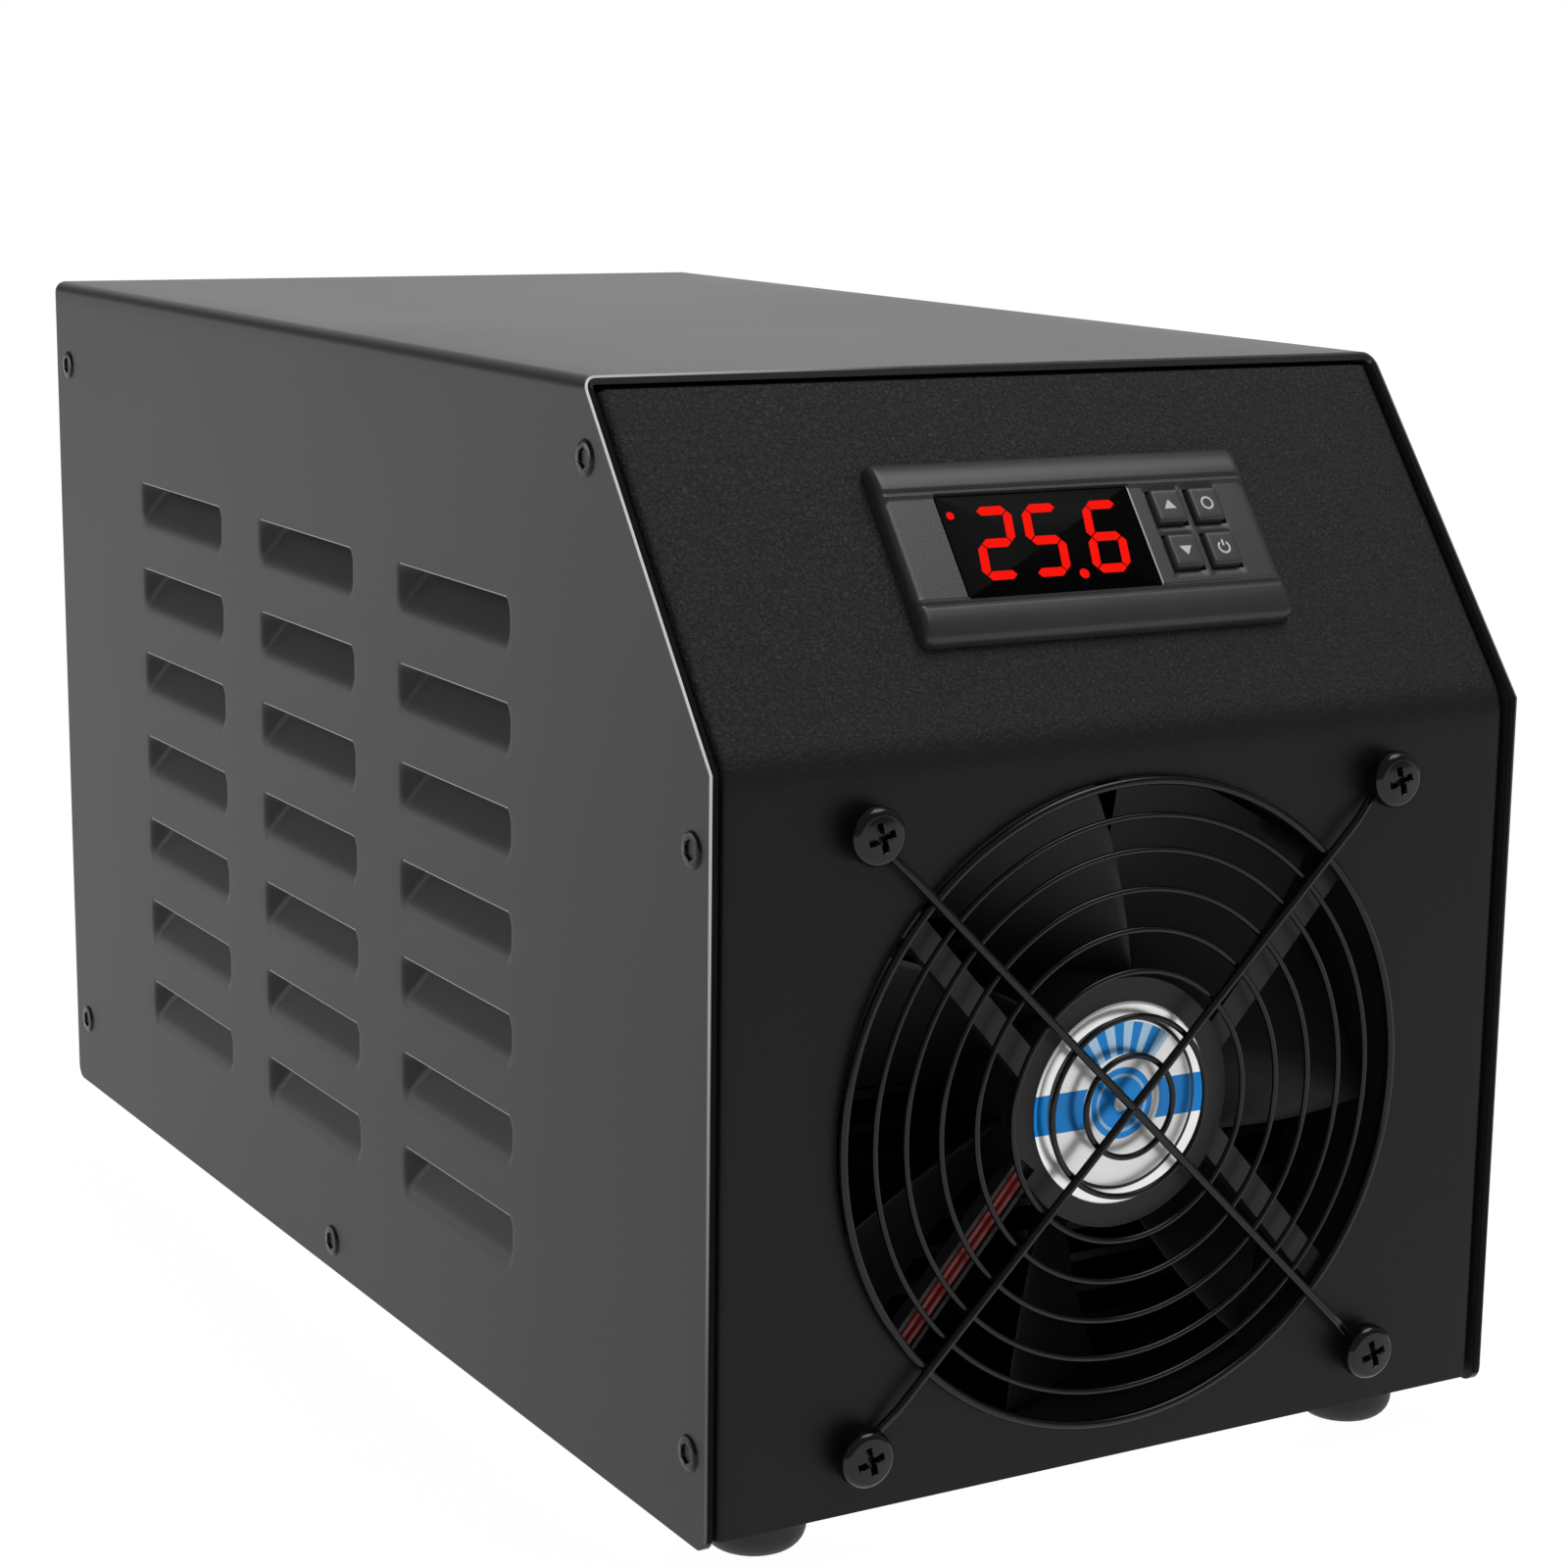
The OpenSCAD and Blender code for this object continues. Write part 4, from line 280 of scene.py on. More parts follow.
def piece(name, parts, material, body="cabinet", replaces=(), sharp=35, weld=1e-6, smooth=True,
          outward=False):
    """Makes one object of the surfaces in parts, rides it on a body and lets it stand for CAD nodes."""
    verts, faces = joined(parts)
    mesh = bpy.data.meshes.new(name)
    mesh.from_pydata(verts.tolist(), [], faces)
    work = bmesh.new()
    work.from_mesh(mesh)
    bmesh.ops.remove_doubles(work, verts=work.verts, dist=weld)
    bmesh.ops.dissolve_degenerate(work, edges=work.edges, dist=weld)
    if outward:
        bmesh.ops.recalc_face_normals(work, faces=work.faces)
    work.to_mesh(mesh)
    work.free()
    if smooth:
        mesh.shade_smooth()
        mesh.set_sharp_from_angle(angle=radians(sharp))
    obj = bpy.data.objects.new(name, mesh)
    bpy.context.scene.collection.objects.link(obj)
    mesh.materials.append(material)
    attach(obj, body)
    if replaces:
        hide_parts(*replaces)
    return obj


def softened(node, name, width, material, body="cabinet", angle=30):
    """A copy of a CAD node with its loose triangles merged, its flat faces dissolved into one and its
    edges rounded by a bevel of the given width in millimetres. It stands for that node."""
    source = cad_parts[node]
    mesh = source.data.copy()
    mesh.name = name
    mesh.materials.clear()
    mesh.materials.append(material)
    work = bmesh.new()
    work.from_mesh(mesh)
    bmesh.ops.remove_doubles(work, verts=work.verts, dist=2e-6)
    bmesh.ops.dissolve_limit(work, angle_limit=radians(0.5), verts=work.verts, edges=work.edges)
    work.to_mesh(mesh)
    work.free()
    mesh.shade_smooth()
    mesh.set_sharp_from_angle(angle=radians(angle))
    obj = bpy.data.objects.new(name, mesh)
    bpy.context.scene.collection.objects.link(obj)
    bevel = obj.modifiers.new("Round", "BEVEL")
    bevel.width = width / 1000
    bevel.segments = 2
    bevel.limit_method = "ANGLE"
    bevel.angle_limit = radians(angle)
    bevel.use_clamp_overlap = True
    bevel.harden_normals = True
    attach(obj, body)
    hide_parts(node)
    return obj


# Finishes

class Value:
    """A number that varies over a surface. Sums, products and comparisons of it add Math nodes."""

    def __init__(self, shader, socket):
        self.shader, self.socket = shader, socket

    def _maths(self, operation, *others, clamp=False):
        node = self.shader.node("ShaderNodeMath", {"operation": operation, "use_clamp": clamp}, others)
        return Value(self.shader, node.outputs[0])

    def __add__(self, other): return self._maths("ADD", self, other)
    def __radd__(self, other): return self._maths("ADD", other, self)
    def __sub__(self, other): return self._maths("SUBTRACT", self, other)
    def __rsub__(self, other): return self._maths("SUBTRACT", other, self)
    def __mul__(self, other): return self._maths("MULTIPLY", self, other)
    def __rmul__(self, other): return self._maths("MULTIPLY", other, self)
    def __truediv__(self, other): return self._maths("DIVIDE", self, other)
    def __pow__(self, other): return self._maths("POWER", self, other)
    def __lt__(self, other): return self._maths("LESS_THAN", self, other)
    def __gt__(self, other): return self._maths("GREATER_THAN", self, other)
    def __abs__(self): return self._maths("ABSOLUTE", self)
    def sine(self): return self._maths("SINE", self)
    def fraction(self): return self._maths("FRACT", self)
    def clamped(self): return self._maths("ADD", self, 0.0, clamp=True)

    def between(self, low, high):
        """0 below low and 1 above high, straight between."""
        return ((self - low) * (1 / (high - low))).clamped()


class Shader:
    """One material with a Principled shader, and the pattern nodes that feed it."""

    def __init__(self, name):
        self.material = bpy.data.materials.new(name)
        self.material.use_nodes = True
        self.tree = self.material.node_tree
        self.surface = self.tree.nodes["Principled BSDF"]

    def node(self, kind, settings=None, inputs=()):
        """Adds a node with its settings. inputs are in socket order, or a dict by socket name, each a
        value, a Value or a socket."""
        node = self.tree.nodes.new(kind)
        for key, value in (settings or {}).items():
            setattr(node, key, value)
        pairs = inputs.items() if isinstance(inputs, dict) else enumerate(inputs)
        for key, value in pairs:
            self.put(node.inputs[key], value)
        return node

    def put(self, socket, value):
        source = value.socket if isinstance(value, Value) else value
        if isinstance(source, bpy.types.NodeSocket):
            self.tree.links.new(source, socket)
        elif isinstance(source, (tuple, list)) and len(source) == 3 and socket.type == "RGBA":
            socket.default_value = (*source, 1.0)
        else:
            socket.default_value = source

    def place(self, centre=(0, 0, 0), stretch=(1, 1, 1)):
        """Object coordinates about a centre in metres, stretched along the axes."""
        where = self.node("ShaderNodeTexCoord").outputs["Object"]
        back = self.node("ShaderNodeMapping", {"vector_type": "POINT"},
                         {"Vector": where, "Location": tuple(-c for c in centre)}).outputs[0]
        return self.node("ShaderNodeMapping", {"vector_type": "POINT"},
                         {"Vector": back, "Scale": stretch}).outputs[0]

    def axes(self, vector):
        split = self.node("ShaderNodeSeparateXYZ", None, [vector])
        return [Value(self, s) for s in split.outputs]

    def noise(self, vector, scale, detail=3.0, rough=0.5, warp=0.0):
        node = self.node("ShaderNodeTexNoise", None, {"Vector": vector, "Scale": scale, "Detail": detail,
                                                      "Roughness": rough, "Distortion": warp})
        return Value(self, node.outputs["Fac"])

    def cells(self, vector, scale, output="Distance"):
        """Scattered cells: the distance from the nearest cell's middle, or each cell's own colour."""
        return self.node("ShaderNodeTexVoronoi", None, {"Vector": vector, "Scale": scale}).outputs[output]

    def mixed(self, factor, first, second):
        """Colour first where factor is 0 and second where it is 1."""
        node = self.node("ShaderNodeMix", {"data_type": "RGBA"})
        for socket, value in ((node.inputs[0], factor), (node.inputs[6], first), (node.inputs[7], second)):
            self.put(socket, value)
        return node.outputs[2]

    def bump(self, height, distance):
        """A bump whose relief is distance high, in millimetres."""
        node = self.node("ShaderNodeBump", None,
                         {"Strength": 1.0, "Distance": distance / 1000, "Height": height})
        self.put(self.surface.inputs["Normal"], node.outputs[0])

    def set(self, **sockets):
        names = {"colour": "Base Color", "rough": "Roughness", "metal": "Metallic", "coat": "Coat Weight",
                 "alpha": "Alpha", "glow": "Emission Color", "glow_strength": "Emission Strength",
                 "level": "Specular IOR Level"}
        for key, value in sockets.items():
            self.put(self.surface.inputs[names[key]], value)
        return self


def shade(c, factor):
    return tuple(min(1.0, v * factor) for v in c)


def vary(s, pattern, base, less, more):
    """The base colour, darker where the pattern is low and lighter where it is high."""
    return s.mixed(pattern, shade(base, less), shade(base, more))


def powder_coat(name, base, rough, relief, leather=None, level=0.25):
    """Powder coat: a soft orange peel of rounded bumps about a millimetre apart, with finer grit.
    Above the height called leather, in metres, if it is given, the relief is that of fine leather and the
    colour
    turns lighter: partly the leather's own tone, partly painted light for the part that faces up to the
    light, with painted highlights where the grain stands up."""
    s = Shader(name)
    at = s.place()
    peel = s.noise(at, 1000.0, 2.0, 0.45)
    grit = s.noise(at, 3200.0, 1.0, 0.5)
    cloud = s.noise(at, 14.0, 3.0, 0.55)
    paint = vary(s, (cloud * 0.6 + peel * 0.4).between(0.3, 0.7), base, 0.84, 1.16)
    height = peel * 0.8 + grit * 0.2
    if leather is not None:
        up = s.axes(at)[2]
        skin = s.noise(at, 1250.0, 3.0, 0.55, 0.9).between(0.3, 0.68)
        above = up.between(leather - 0.004, leather + 0.006)
        # Painted light: above the leather height the coat is lighter, partly its own tone and partly painted
        # light, and lighter again where the grain stands up, as painted highlights
        paint = s.mixed(above, paint, vary(s, skin, base, 1.5, 2.9))
        height = height + above * skin * 6.0
    s.set(colour=paint, rough=rough - 0.05 + cloud * 0.06 + peel * 0.05, level=level)
    s.bump(height, relief)
    return s.material


def cover_coat_with_painted_light(name, base, c, v):
    """The cover's powder coat with painted light: a painted highlight, with a faint glow, along the outer
    edge of the front rim, which fades downwards and to the right, and a painted highlight along each louvre's
    cut edge. The rest of the rim is painted shade, much darker. Places are in millimetres from the cover's
    front and lower edges."""
    rim_depth, rim_highlight_width, lip_highlight_width = 0.28, 0.4, 0.24
    s = Shader(name)
    at = s.place()
    peel = s.noise(at, 1250.0, 2.0, 0.45)
    cloud = s.noise(at, 14.0, 3.0, 0.55)
    x, y, z = s.axes(at)
    # How far left the point is: the rim's painted highlight is full on the left side and weak on the right,
    # as the light falls
    left = 1 - x.between(-0.075, -0.02)
    x, y, z = abs(x * 1000), y * 1000 - FRONT, z * 1000 - LOW
    lean = c.slope_run / (c.height - c.slope_foot)
    behind = y - (z - c.slope_foot) * (z > c.slope_foot) * lean
    front = behind < rim_depth
    over_x = (x - (c.width / 2 - c.bend)) * (x > c.width / 2 - c.bend)
    over_z = (z - (c.height - c.bend)) * (z > c.height - c.bend)
    # Painted highlight: a line along the front rim's outer edge, fainter lower down and on the right
    rim = front * ((over_x * over_x + over_z * over_z) ** 0.5 > c.bend - rim_highlight_width)
    rim = rim * (0.15 + left * 0.85) * (0.2 + z.between(30.0, 130.0) * 0.8)
    # Painted highlight: a line under each louvre's cut edge, on the sides' outer face
    below = ((v.top_z - z) / v.pitch_z + 0.5).fraction() * v.pitch_z - v.pitch_z / 2
    along = ((y - v.first_y) / v.pitch_y + 0.5).fraction() * v.pitch_y - v.pitch_y / 2
    side = (z < v.top_z + 1) * (z > v.top_z - v.pitch_z * (v.rows - 0.5)) * (x > c.width / 2 - 0.35)
    side = side * (y > v.first_y - v.pitch_y / 2) * (y < v.first_y + v.pitch_y * (v.columns - 0.5))
    lip = (below < 0.02) * (below > -lip_highlight_width) * (abs(along) < v.width / 2 - v.lip_corner * 0.6) * side
    paint = vary(s, (cloud * 0.6 + peel * 0.4).between(0.3, 0.7), base, 0.9, 1.1)
    # Painted shade: the front rim's face is coloured at 0.12 of the coat
    paint = s.mixed(front, paint, shade(base, 0.12))
    # The painted highlights are pale grey, and the rim's line also glows faintly, though it is no lamp
    s.set(colour=s.mixed((rim + lip * 0.9).clamped(), paint, (0.62, 0.63, 0.64)),
          glow=s.mixed(rim, (0, 0, 0), (0.22, 0.22, 0.22)), glow_strength=1.0,
          rough=0.37 + cloud * 0.06 + peel * 0.05 + front * 0.5, level=0.26)
    s.bump(peel, 0.02)
    return s.material


def moulded(name, base, rough, grain, spread, coat=0.0, level=0.3):
    """Moulded plastic or paint with a very fine grain and faint flow marks, whose tones differ by spread."""
    s = Shader(name)
    at = s.place()
    fine = s.noise(at, 2600.0, 2.0, 0.6)
    flow = s.noise(at, 30.0, 2.0, 0.5, 0.6)
    s.set(colour=vary(s, flow.between(0.35, 0.65), base, 1 - spread, 1 + spread),
          rough=rough - 0.04 + flow * 0.05 + fine * 0.04, coat=coat, level=level)
    s.bump(fine, grain)
    return s.material


def brushed(name, base, rough, along, metal=1.0, scale=160.0):
    """Bright metal with streaks along one direction, which is the one with the small number."""
    s = Shader(name)
    streak = s.noise(s.place(stretch=along), scale, 4.0, 0.65)
    stain = s.noise(s.place(), 35.0, 3.0, 0.5)
    s.set(colour=vary(s, (streak * 0.6 + stain * 0.4).between(0.3, 0.7), base, 0.88, 1.12),
          rough=rough - 0.06 + streak * 0.14, metal=metal)
    s.bump(streak, 0.01)
    return s.material


def galvanised(name, base):
    """Zinc coat: crystals some millimetres across, each with its own grey and gloss."""
    s = Shader(name)
    at = s.place()
    tint = s.node("ShaderNodeSeparateColor", None, [s.cells(at, 190.0, output="Color")])
    crystal = Value(s, tint.outputs[0])
    haze = s.noise(at, 60.0, 3.0, 0.6)
    s.set(colour=vary(s, crystal * 0.7 + haze * 0.3, base, 0.72, 1.12),
          rough=0.3 + crystal * 0.18 + haze * 0.05, metal=0.92)
    s.bump(crystal, 0.006)
    return s.material


def rubber(name, base):
    """Rubber or soft seal: matt, with a fine pitted skin and pale dust in patches."""
    s = Shader(name)
    at = s.place()
    pits = s.noise(at, 1900.0, 2.0, 0.6)
    dust = s.noise(at, 120.0, 4.0, 0.6).between(0.5, 0.8)
    s.set(colour=vary(s, dust * 0.5, base, 1.0, 2.2), rough=0.62 + dust * 0.12)
    s.bump(pits, 0.03)
    return s.material


def circuit_board(name):
    """Solder mask over copper: square tracks and round pads in a lighter green."""
    s = Shader(name)
    at = s.place()
    tracks = s.node("ShaderNodeTexBrick", {"offset": 0.37, "offset_frequency": 2},
                    {"Vector": at, "Scale": 110.0, "Mortar Size": 0.035, "Brick Width": 0.9,
                     "Row Height": 0.33})
    pads = Value(s, s.cells(at, 260.0)) < 0.16
    mask = (Value(s, tracks.outputs["Fac"]) * 0.7 + pads * 0.5).clamped()
    s.set(colour=s.mixed(mask, (0.008, 0.085, 0.030), (0.045, 0.22, 0.075)), rough=0.34 + pads * 0.1)
    s.bump(mask, 0.03)
    return s.material


def wound_copper(name):
    """Enamelled wire wound round the axis: fine turns with a lacquer gloss, and painted shade in the grooves
    between turns.
    """
    s = Shader(name)
    turns = (s.axes(s.place())[1] * 13000.0).sine()
    tint = s.noise(s.place(), 220.0, 2.0, 0.5)
    # Painted shade: the colour follows the turns' relief and is darker in the grooves between them
    s.set(colour=s.mixed(turns * 0.3 + tint, (0.30, 0.09, 0.03), (0.72, 0.30, 0.11)), rough=0.28 + tint * 0.1,
          metal=0.75)
    s.bump(turns, 0.05)
    return s.material


def closed_foam(name):
    """Black sheet foam: small cells of mixed size, matt, with painted shade in the cells' hollows."""
    s = Shader(name)
    at = s.place()
    cell = Value(s, s.cells(at, 900.0))
    patch = s.noise(at, 45.0, 3.0, 0.5)
    # Painted shade: the cells' hollows, low in the relief, are coloured darker; the patches vary at random
    s.set(colour=s.mixed(cell * 0.7 + patch * 0.4, (0.022, 0.022, 0.024), (0.060, 0.060, 0.064)),
          rough=0.86 + cell * 0.1)
    s.bump(cell, 0.12)
    return s.material


def fired_ceramic(name):
    """White alumina: smooth, faintly cloudy, with pin-prick pores."""
    s = Shader(name)
    at = s.place()
    cloud = s.noise(at, 80.0, 3.0, 0.5)
    pores = Value(s, s.cells(at, 700.0)) < 0.09
    s.set(colour=s.mixed(cloud, (0.78, 0.78, 0.75), (0.88, 0.88, 0.86)), rough=0.42 + cloud * 0.1)
    s.bump(1 - pores, 0.02)
    return s.material


def clear_hose(name):
    """Clear flexible hose: pale, glossy, with soft bands along it where it was drawn."""
    s = Shader(name)
    bands = s.noise(s.place(stretch=(6, 0.6, 6)), 90.0, 2.0, 0.5)
    s.set(colour=s.mixed(bands, (0.72, 0.76, 0.79), (0.86, 0.89, 0.91)), rough=0.12 + bands * 0.08,
          alpha=0.42 + bands * 0.12)
    s.bump(bands, 0.03)
    return s.material


def glass_fuse(name):
    """Glass barrel with plated caps at both ends, told apart by their place along the barrel."""
    s = Shader(name)
    low, high = (np.array(c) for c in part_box("fuse"))
    along = s.axes(s.place(centre=tuple((low + high) / 2)))[1]
    half = float(high[1] - low[1]) / 2
    cap = abs(along) > half * 0.5
    wear = s.noise(s.place(), 500.0, 2.0, 0.5)
    s.set(colour=s.mixed(cap, (0.86, 0.89, 0.90), (0.66, 0.66, 0.64)), metal=cap,
          rough=0.1 + cap * 0.15 + wear * 0.08, alpha=0.35 + cap * 0.65)
    s.bump(wear, 0.01)
    return s.material


def insulation(name, base):
    """Soft wire insulation: satin, with faint scuffs."""
    s = Shader(name)
    at = s.place()
    scuff = s.noise(at, 420.0, 3.0, 0.6).between(0.45, 0.75)
    s.set(colour=vary(s, scuff, base, 1.0, 1.5), rough=0.34 + scuff * 0.2)
    s.bump(scuff, 0.015)
    return s.material


def fan_label_print(name, sizes, look):
    """The hub's label: silver foil with a blue band across, rays above it, a pale disc with a blue ring
    and a dark line near its edge. Places are distances from the fan's axis in millimetres."""
    fan_in, fan_out, fan_half, ray_count = 8.6, 14.3, 0.72, 22.0
    band_low, band_high = -3.6, 3.4
    disc, ring_in, ring_out, line_in, line_out = 7.8, 1.5, 6.3, 4.6, 5.2
    edge_in, edge_out = 14.6, 15.2
    s = Shader(name)
    x, _, z = s.axes(s.place(centre=(sizes.axis_x / 1000, 0, (sizes.axis_z + LOW) / 1000)))
    x, z = x * 1000, z * 1000
    r = (x * x + z * z) ** 0.5
    angle = s.node("ShaderNodeMath", {"operation": "ARCTAN2"}, [x, z])
    rays = (Value(s, angle.outputs[0]) * ray_count).sine().between(-0.1, 0.1)
    blue, silver = tuple(look.label_blue), tuple(look.label_silver)
    fan = (abs(Value(s, angle.outputs[0])) < fan_half) * (r > fan_in) * (r < fan_out)
    field = s.mixed(fan, silver, shade(blue, 1.1))
    field = s.mixed(fan * rays, field, (0.45, 0.66, 0.86))
    field = s.mixed((z > band_low) * (z < band_high), field, blue)
    field = s.mixed(r < disc, field, shade(silver, 0.9))
    field = s.mixed((r < ring_out) * (r > ring_in), field, shade(blue, 1.2))
    field = s.mixed((r < line_out) * (r > line_in), field, (0.30, 0.50, 0.74))
    field = s.mixed((r > edge_in) * (r < edge_out), field, (0.04, 0.045, 0.05))
    foil = s.noise(s.place(), 300.0, 2.0, 0.5)
    s.set(colour=field, rough=0.24 + foil * 0.1, metal=0.6 + (r > edge_out) * 0.25)
    s.bump(foil, 0.01)
    return s.material


def smoked_window(name):
    """Smoked display window: near black and glossy, with the faintest haze."""
    s = Shader(name)
    haze = s.noise(s.place(), 60.0, 3.0, 0.5)
    s.set(colour=s.mixed(haze, (0.0012, 0.0012, 0.0015), (0.0022, 0.0022, 0.0026)),
          rough=0.22 + haze * 0.04, level=0.02)
    s.bump(haze, 0.004)
    return s.material


def lit_segment(name, base):
    """A lit segment: a red glow, a little uneven."""
    s = Shader(name)
    hot = s.noise(s.place(), 700.0, 1.0, 0.4)
    glow = s.mixed(hot, shade(base, 0.82), (1.0, 0.008, 0.004))
    s.set(colour=s.mixed(hot, (0.03, 0.0, 0.0), (0.05, 0.0, 0.0)), rough=0.6, level=0.0, glow=glow,
          glow_strength=1.0)
    return s.material


def printed_mark(name, base):
    """Pale print, worn in spots. It also colours the pale strips of painted highlight along the display
    window's edges.
    """
    s = Shader(name)
    wear = s.noise(s.place(), 900.0, 2.0, 0.5)
    s.set(colour=vary(s, wear, base, 0.85, 1.0), rough=0.5 + wear * 0.1)
    return s.material


def show(node, material):
    """Gives a CAD node that stays in view its finish."""
    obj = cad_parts[node]
    if not obj.material_slots:
        obj.data.materials.append(material)
    for held in obj.material_slots:
        held.link = "OBJECT"
        held.material = material


# Cover

def even(a, b, step):
    """Places from a to b, about step apart."""
    return np.linspace(a, b, max(2, int(round(abs(b - a) / step)) + 1))


def side_rows(c, v):
    """Heights of the side wall's grid rows: close together over the louvres, with the row at each cut
    edge given twice. Returns the heights and a flag for the lower one of each pair, the louvre's lip."""
    between, fine, above, margin, lift = 4.0, 0.85, 3.5, 0.6, 0.5
    heights = (c.corner * (1 - np.cos(np.linspace(0, pi / 2, 6)))).tolist()
    lips = []
    for k in range(v.rows)[::-1]:
        cut = v.top_z - k * v.pitch_z
        low = cut - v.height - margin
        heights += even(heights[-1], low, between)[1:].tolist()
        heights += even(low, cut, fine)[1:].tolist()
        lips.append(len(heights) - 1)
        heights += [cut, cut + lift]
    heights += even(heights[-1], c.height - c.bend, above)[1:].tolist()
    heights = np.array(heights)
    lip = np.zeros(len(heights), bool)
    lip[lips] = True
    at = int(np.searchsorted(heights, c.slope_foot))
    return np.insert(heights, at, c.slope_foot), np.insert(lip, at, False)


def side_columns(c, v):
    """Places of the side wall's grid columns from front to rear, close together at the louvres' ends."""
    margin, front_end, rear_end = 0.4, 6.0, 8.0
    wide, fine, middle, less_fine = 5.0, 0.65, 3.2, 0.75
    y = [0.0]
    for k in range(v.columns):
        mid = v.first_y + k * v.pitch_y
        a, b = mid - v.width / 2, mid + v.width / 2
        y += even(y[-1], a - margin, wide)[1:].tolist()
        y += even(a - margin, a + front_end, fine)[1:].tolist()
        y += even(a + front_end, b - rear_end, middle)[1:].tolist()
        y += even(b - rear_end, b + margin, less_fine)[1:].tolist()
    y += even(y[-1], c.depth, wide)[1:].tolist()
    return np.array(y)


def eased(t, r):
    """Nothing below zero, then a slope of one, with a parabola over the first r between them."""
    t = np.clip(t, 0, None)
    return np.where(t < r, t * t / (2 * r), t - r / 2)


def louvre_relief(y, z, lip, v):
    """How far the sheet is pressed in at each point: the least of three slopes, blended where they meet.
    The floor falls from nothing at the louvre's foot to the full depth at its cut edge. The front and
    the rear end fall from the louvre's outline, whose corners are round."""
    depth = np.zeros(np.broadcast(y, z).shape)
    for i in range(v.columns):
        for j in range(v.rows):
            u, w = y - v.first_y - i * v.pitch_y, v.top_z - j * v.pitch_z - z
            inside = (w >= -1e-6) & (w <= v.height) & ((w > 1e-6) | lip)
            w = np.clip(w, 0, v.height)
            foot = v.corner - np.sqrt(v.corner ** 2 - np.clip(w - v.height + v.corner, 0, None) ** 2)
            ends = [v.width / 2 + side * u - foot - r + np.sqrt(r * r - np.clip(r - w, 0, None) ** 2)
                    for side, r in ((1, v.lip_corner), (-1, v.lip_corner / 2))]
            floor = v.depth * eased(v.height - w, v.soft) / (v.height - v.soft / 2)
            front = v.front_slope * eased(ends[0], v.soft / 2)
            rear = v.rear_slope * eased(ends[1], v.soft / 3)
            walls = np.minimum(front, rear)
            k = np.clip(np.minimum(walls, floor), 1e-9, 1.0)
            near = np.clip(k - np.abs(walls - floor), 0, None) / k
            least = np.minimum(walls, floor) - near * near * k / 4
            depth = np.where(inside, np.maximum(depth, least), depth)
    return depth


def cover_sheet(c, v):
    """The cover's outer skin. Its section is an upside-down U: up one side, round a bend, over the top
    and down the other side. Each row of the section runs from the front edge, which leans back
    above the slope's foot, to the rear edge; the sides' lower corners are round."""
    bend_steps, top_step, straight = 7, 9.0, 2
    heights, lip = side_rows(c, v)
    cols = side_columns(c, v)
    a = np.linspace(0, pi / 2, bend_steps)[1:]
    bend_x = c.width / 2 - c.bend + c.bend * np.cos(a)
    bend_z = c.height - c.bend + c.bend * np.sin(a)
    top_x = even(c.width / 2 - c.bend, -(c.width / 2 - c.bend), top_step)[1:-1]
    x = np.concatenate([np.full(len(heights), c.width / 2), bend_x, top_x, -bend_x[::-1],
                        np.full(len(heights), -c.width / 2)])
    z = np.concatenate([heights, bend_z, np.full(len(top_x), c.height), bend_z[::-1], heights[::-1]])
    lip = np.concatenate([lip, np.zeros(2 * len(bend_x) + len(top_x), bool), lip[::-1]])
    lean = c.slope_run / (c.height - c.slope_foot)
    start = np.clip(z - c.slope_foot, 0, None) * lean
    end = np.full(len(z), c.depth)
    drop = np.clip(c.corner - z, 0, c.corner)
    round_in = c.corner - np.sqrt(c.corner ** 2 - drop ** 2)
    start, end = start + round_in, end - round_in
    share = (cols - cols[0]) / (cols[-1] - cols[0])
    first = v.first_y - v.width / 2 - straight
    y = np.where(cols[None, :] < first, start[:, None] + cols[None, :] * (first - start[:, None]) / first,
                 cols[None, :])
    y = np.where(share[None, :] == 1, end[:, None], y)
    depth = louvre_relief(y, z[:, None], lip[:, None], v)
    depth = np.where(z[:, None] > c.height - c.bend + 0.01, 0, depth)
    p = points(x[:, None] - np.sign(x[:, None]) * depth, y, z[:, None])
    # the faces between the two rows of a cut edge are the louvre's open slot
    keep = ~((np.abs(np.diff(z)) < 1e-6) & (np.abs(x[1:]) > c.width / 2 - 0.01))
    return p, np.broadcast_to(keep[:, None], (len(z) - 1, len(cols) - 1))


class CHILLER_OT_cover(bpy.types.Operator):
    """Makes the cover: one folded sheet with pressed louvres in both sides"""
    bl_idname = "chiller.cover"
    bl_label = "Cover"

    def execute(self, context):
        c, v = mm(context.scene.chiller_cabinet), mm(context.scene.chiller_louvres)
        p, keep = cover_sheet(c, v)
        coat = cover_coat_with_painted_light("Cover coat with painted light", tuple(context.scene.chiller_finishes.cover), c, v)
        obj = piece("cover_sheet", [grid(p, keep=keep)], coat,
                    replaces=["cover_top", "cover_left", "cover_right"], sharp=40)
        wall = obj.modifiers.new("Wall", "SOLIDIFY")
        wall.thickness = c.sheet / 1000
        wall.offset = -1
        wall.use_rim = True
        edge = obj.modifiers.new("Edge", "BEVEL")
        edge.width = 0.0003
        edge.segments = 2
        edge.limit_method = "ANGLE"
        edge.angle_limit = radians(55)
        edge.harden_normals = True
        return {"FINISHED"}


# Front panel

def slope_frame(c):
    """The slope's lean from upright, in radians."""
    return atan2(c.slope_run, c.height - c.slope_foot)


def on_slope(c, k, x, out, up):
    """Points given about the middle of the control face: x to the right, out of the slope and up it."""
    lean = slope_frame(c)
    u = up + k.place_u
    return points(x + k.place_x, c.inset + u * sin(lean) - out * cos(lean),
                  c.slope_foot + u * cos(lean) + out * sin(lean))


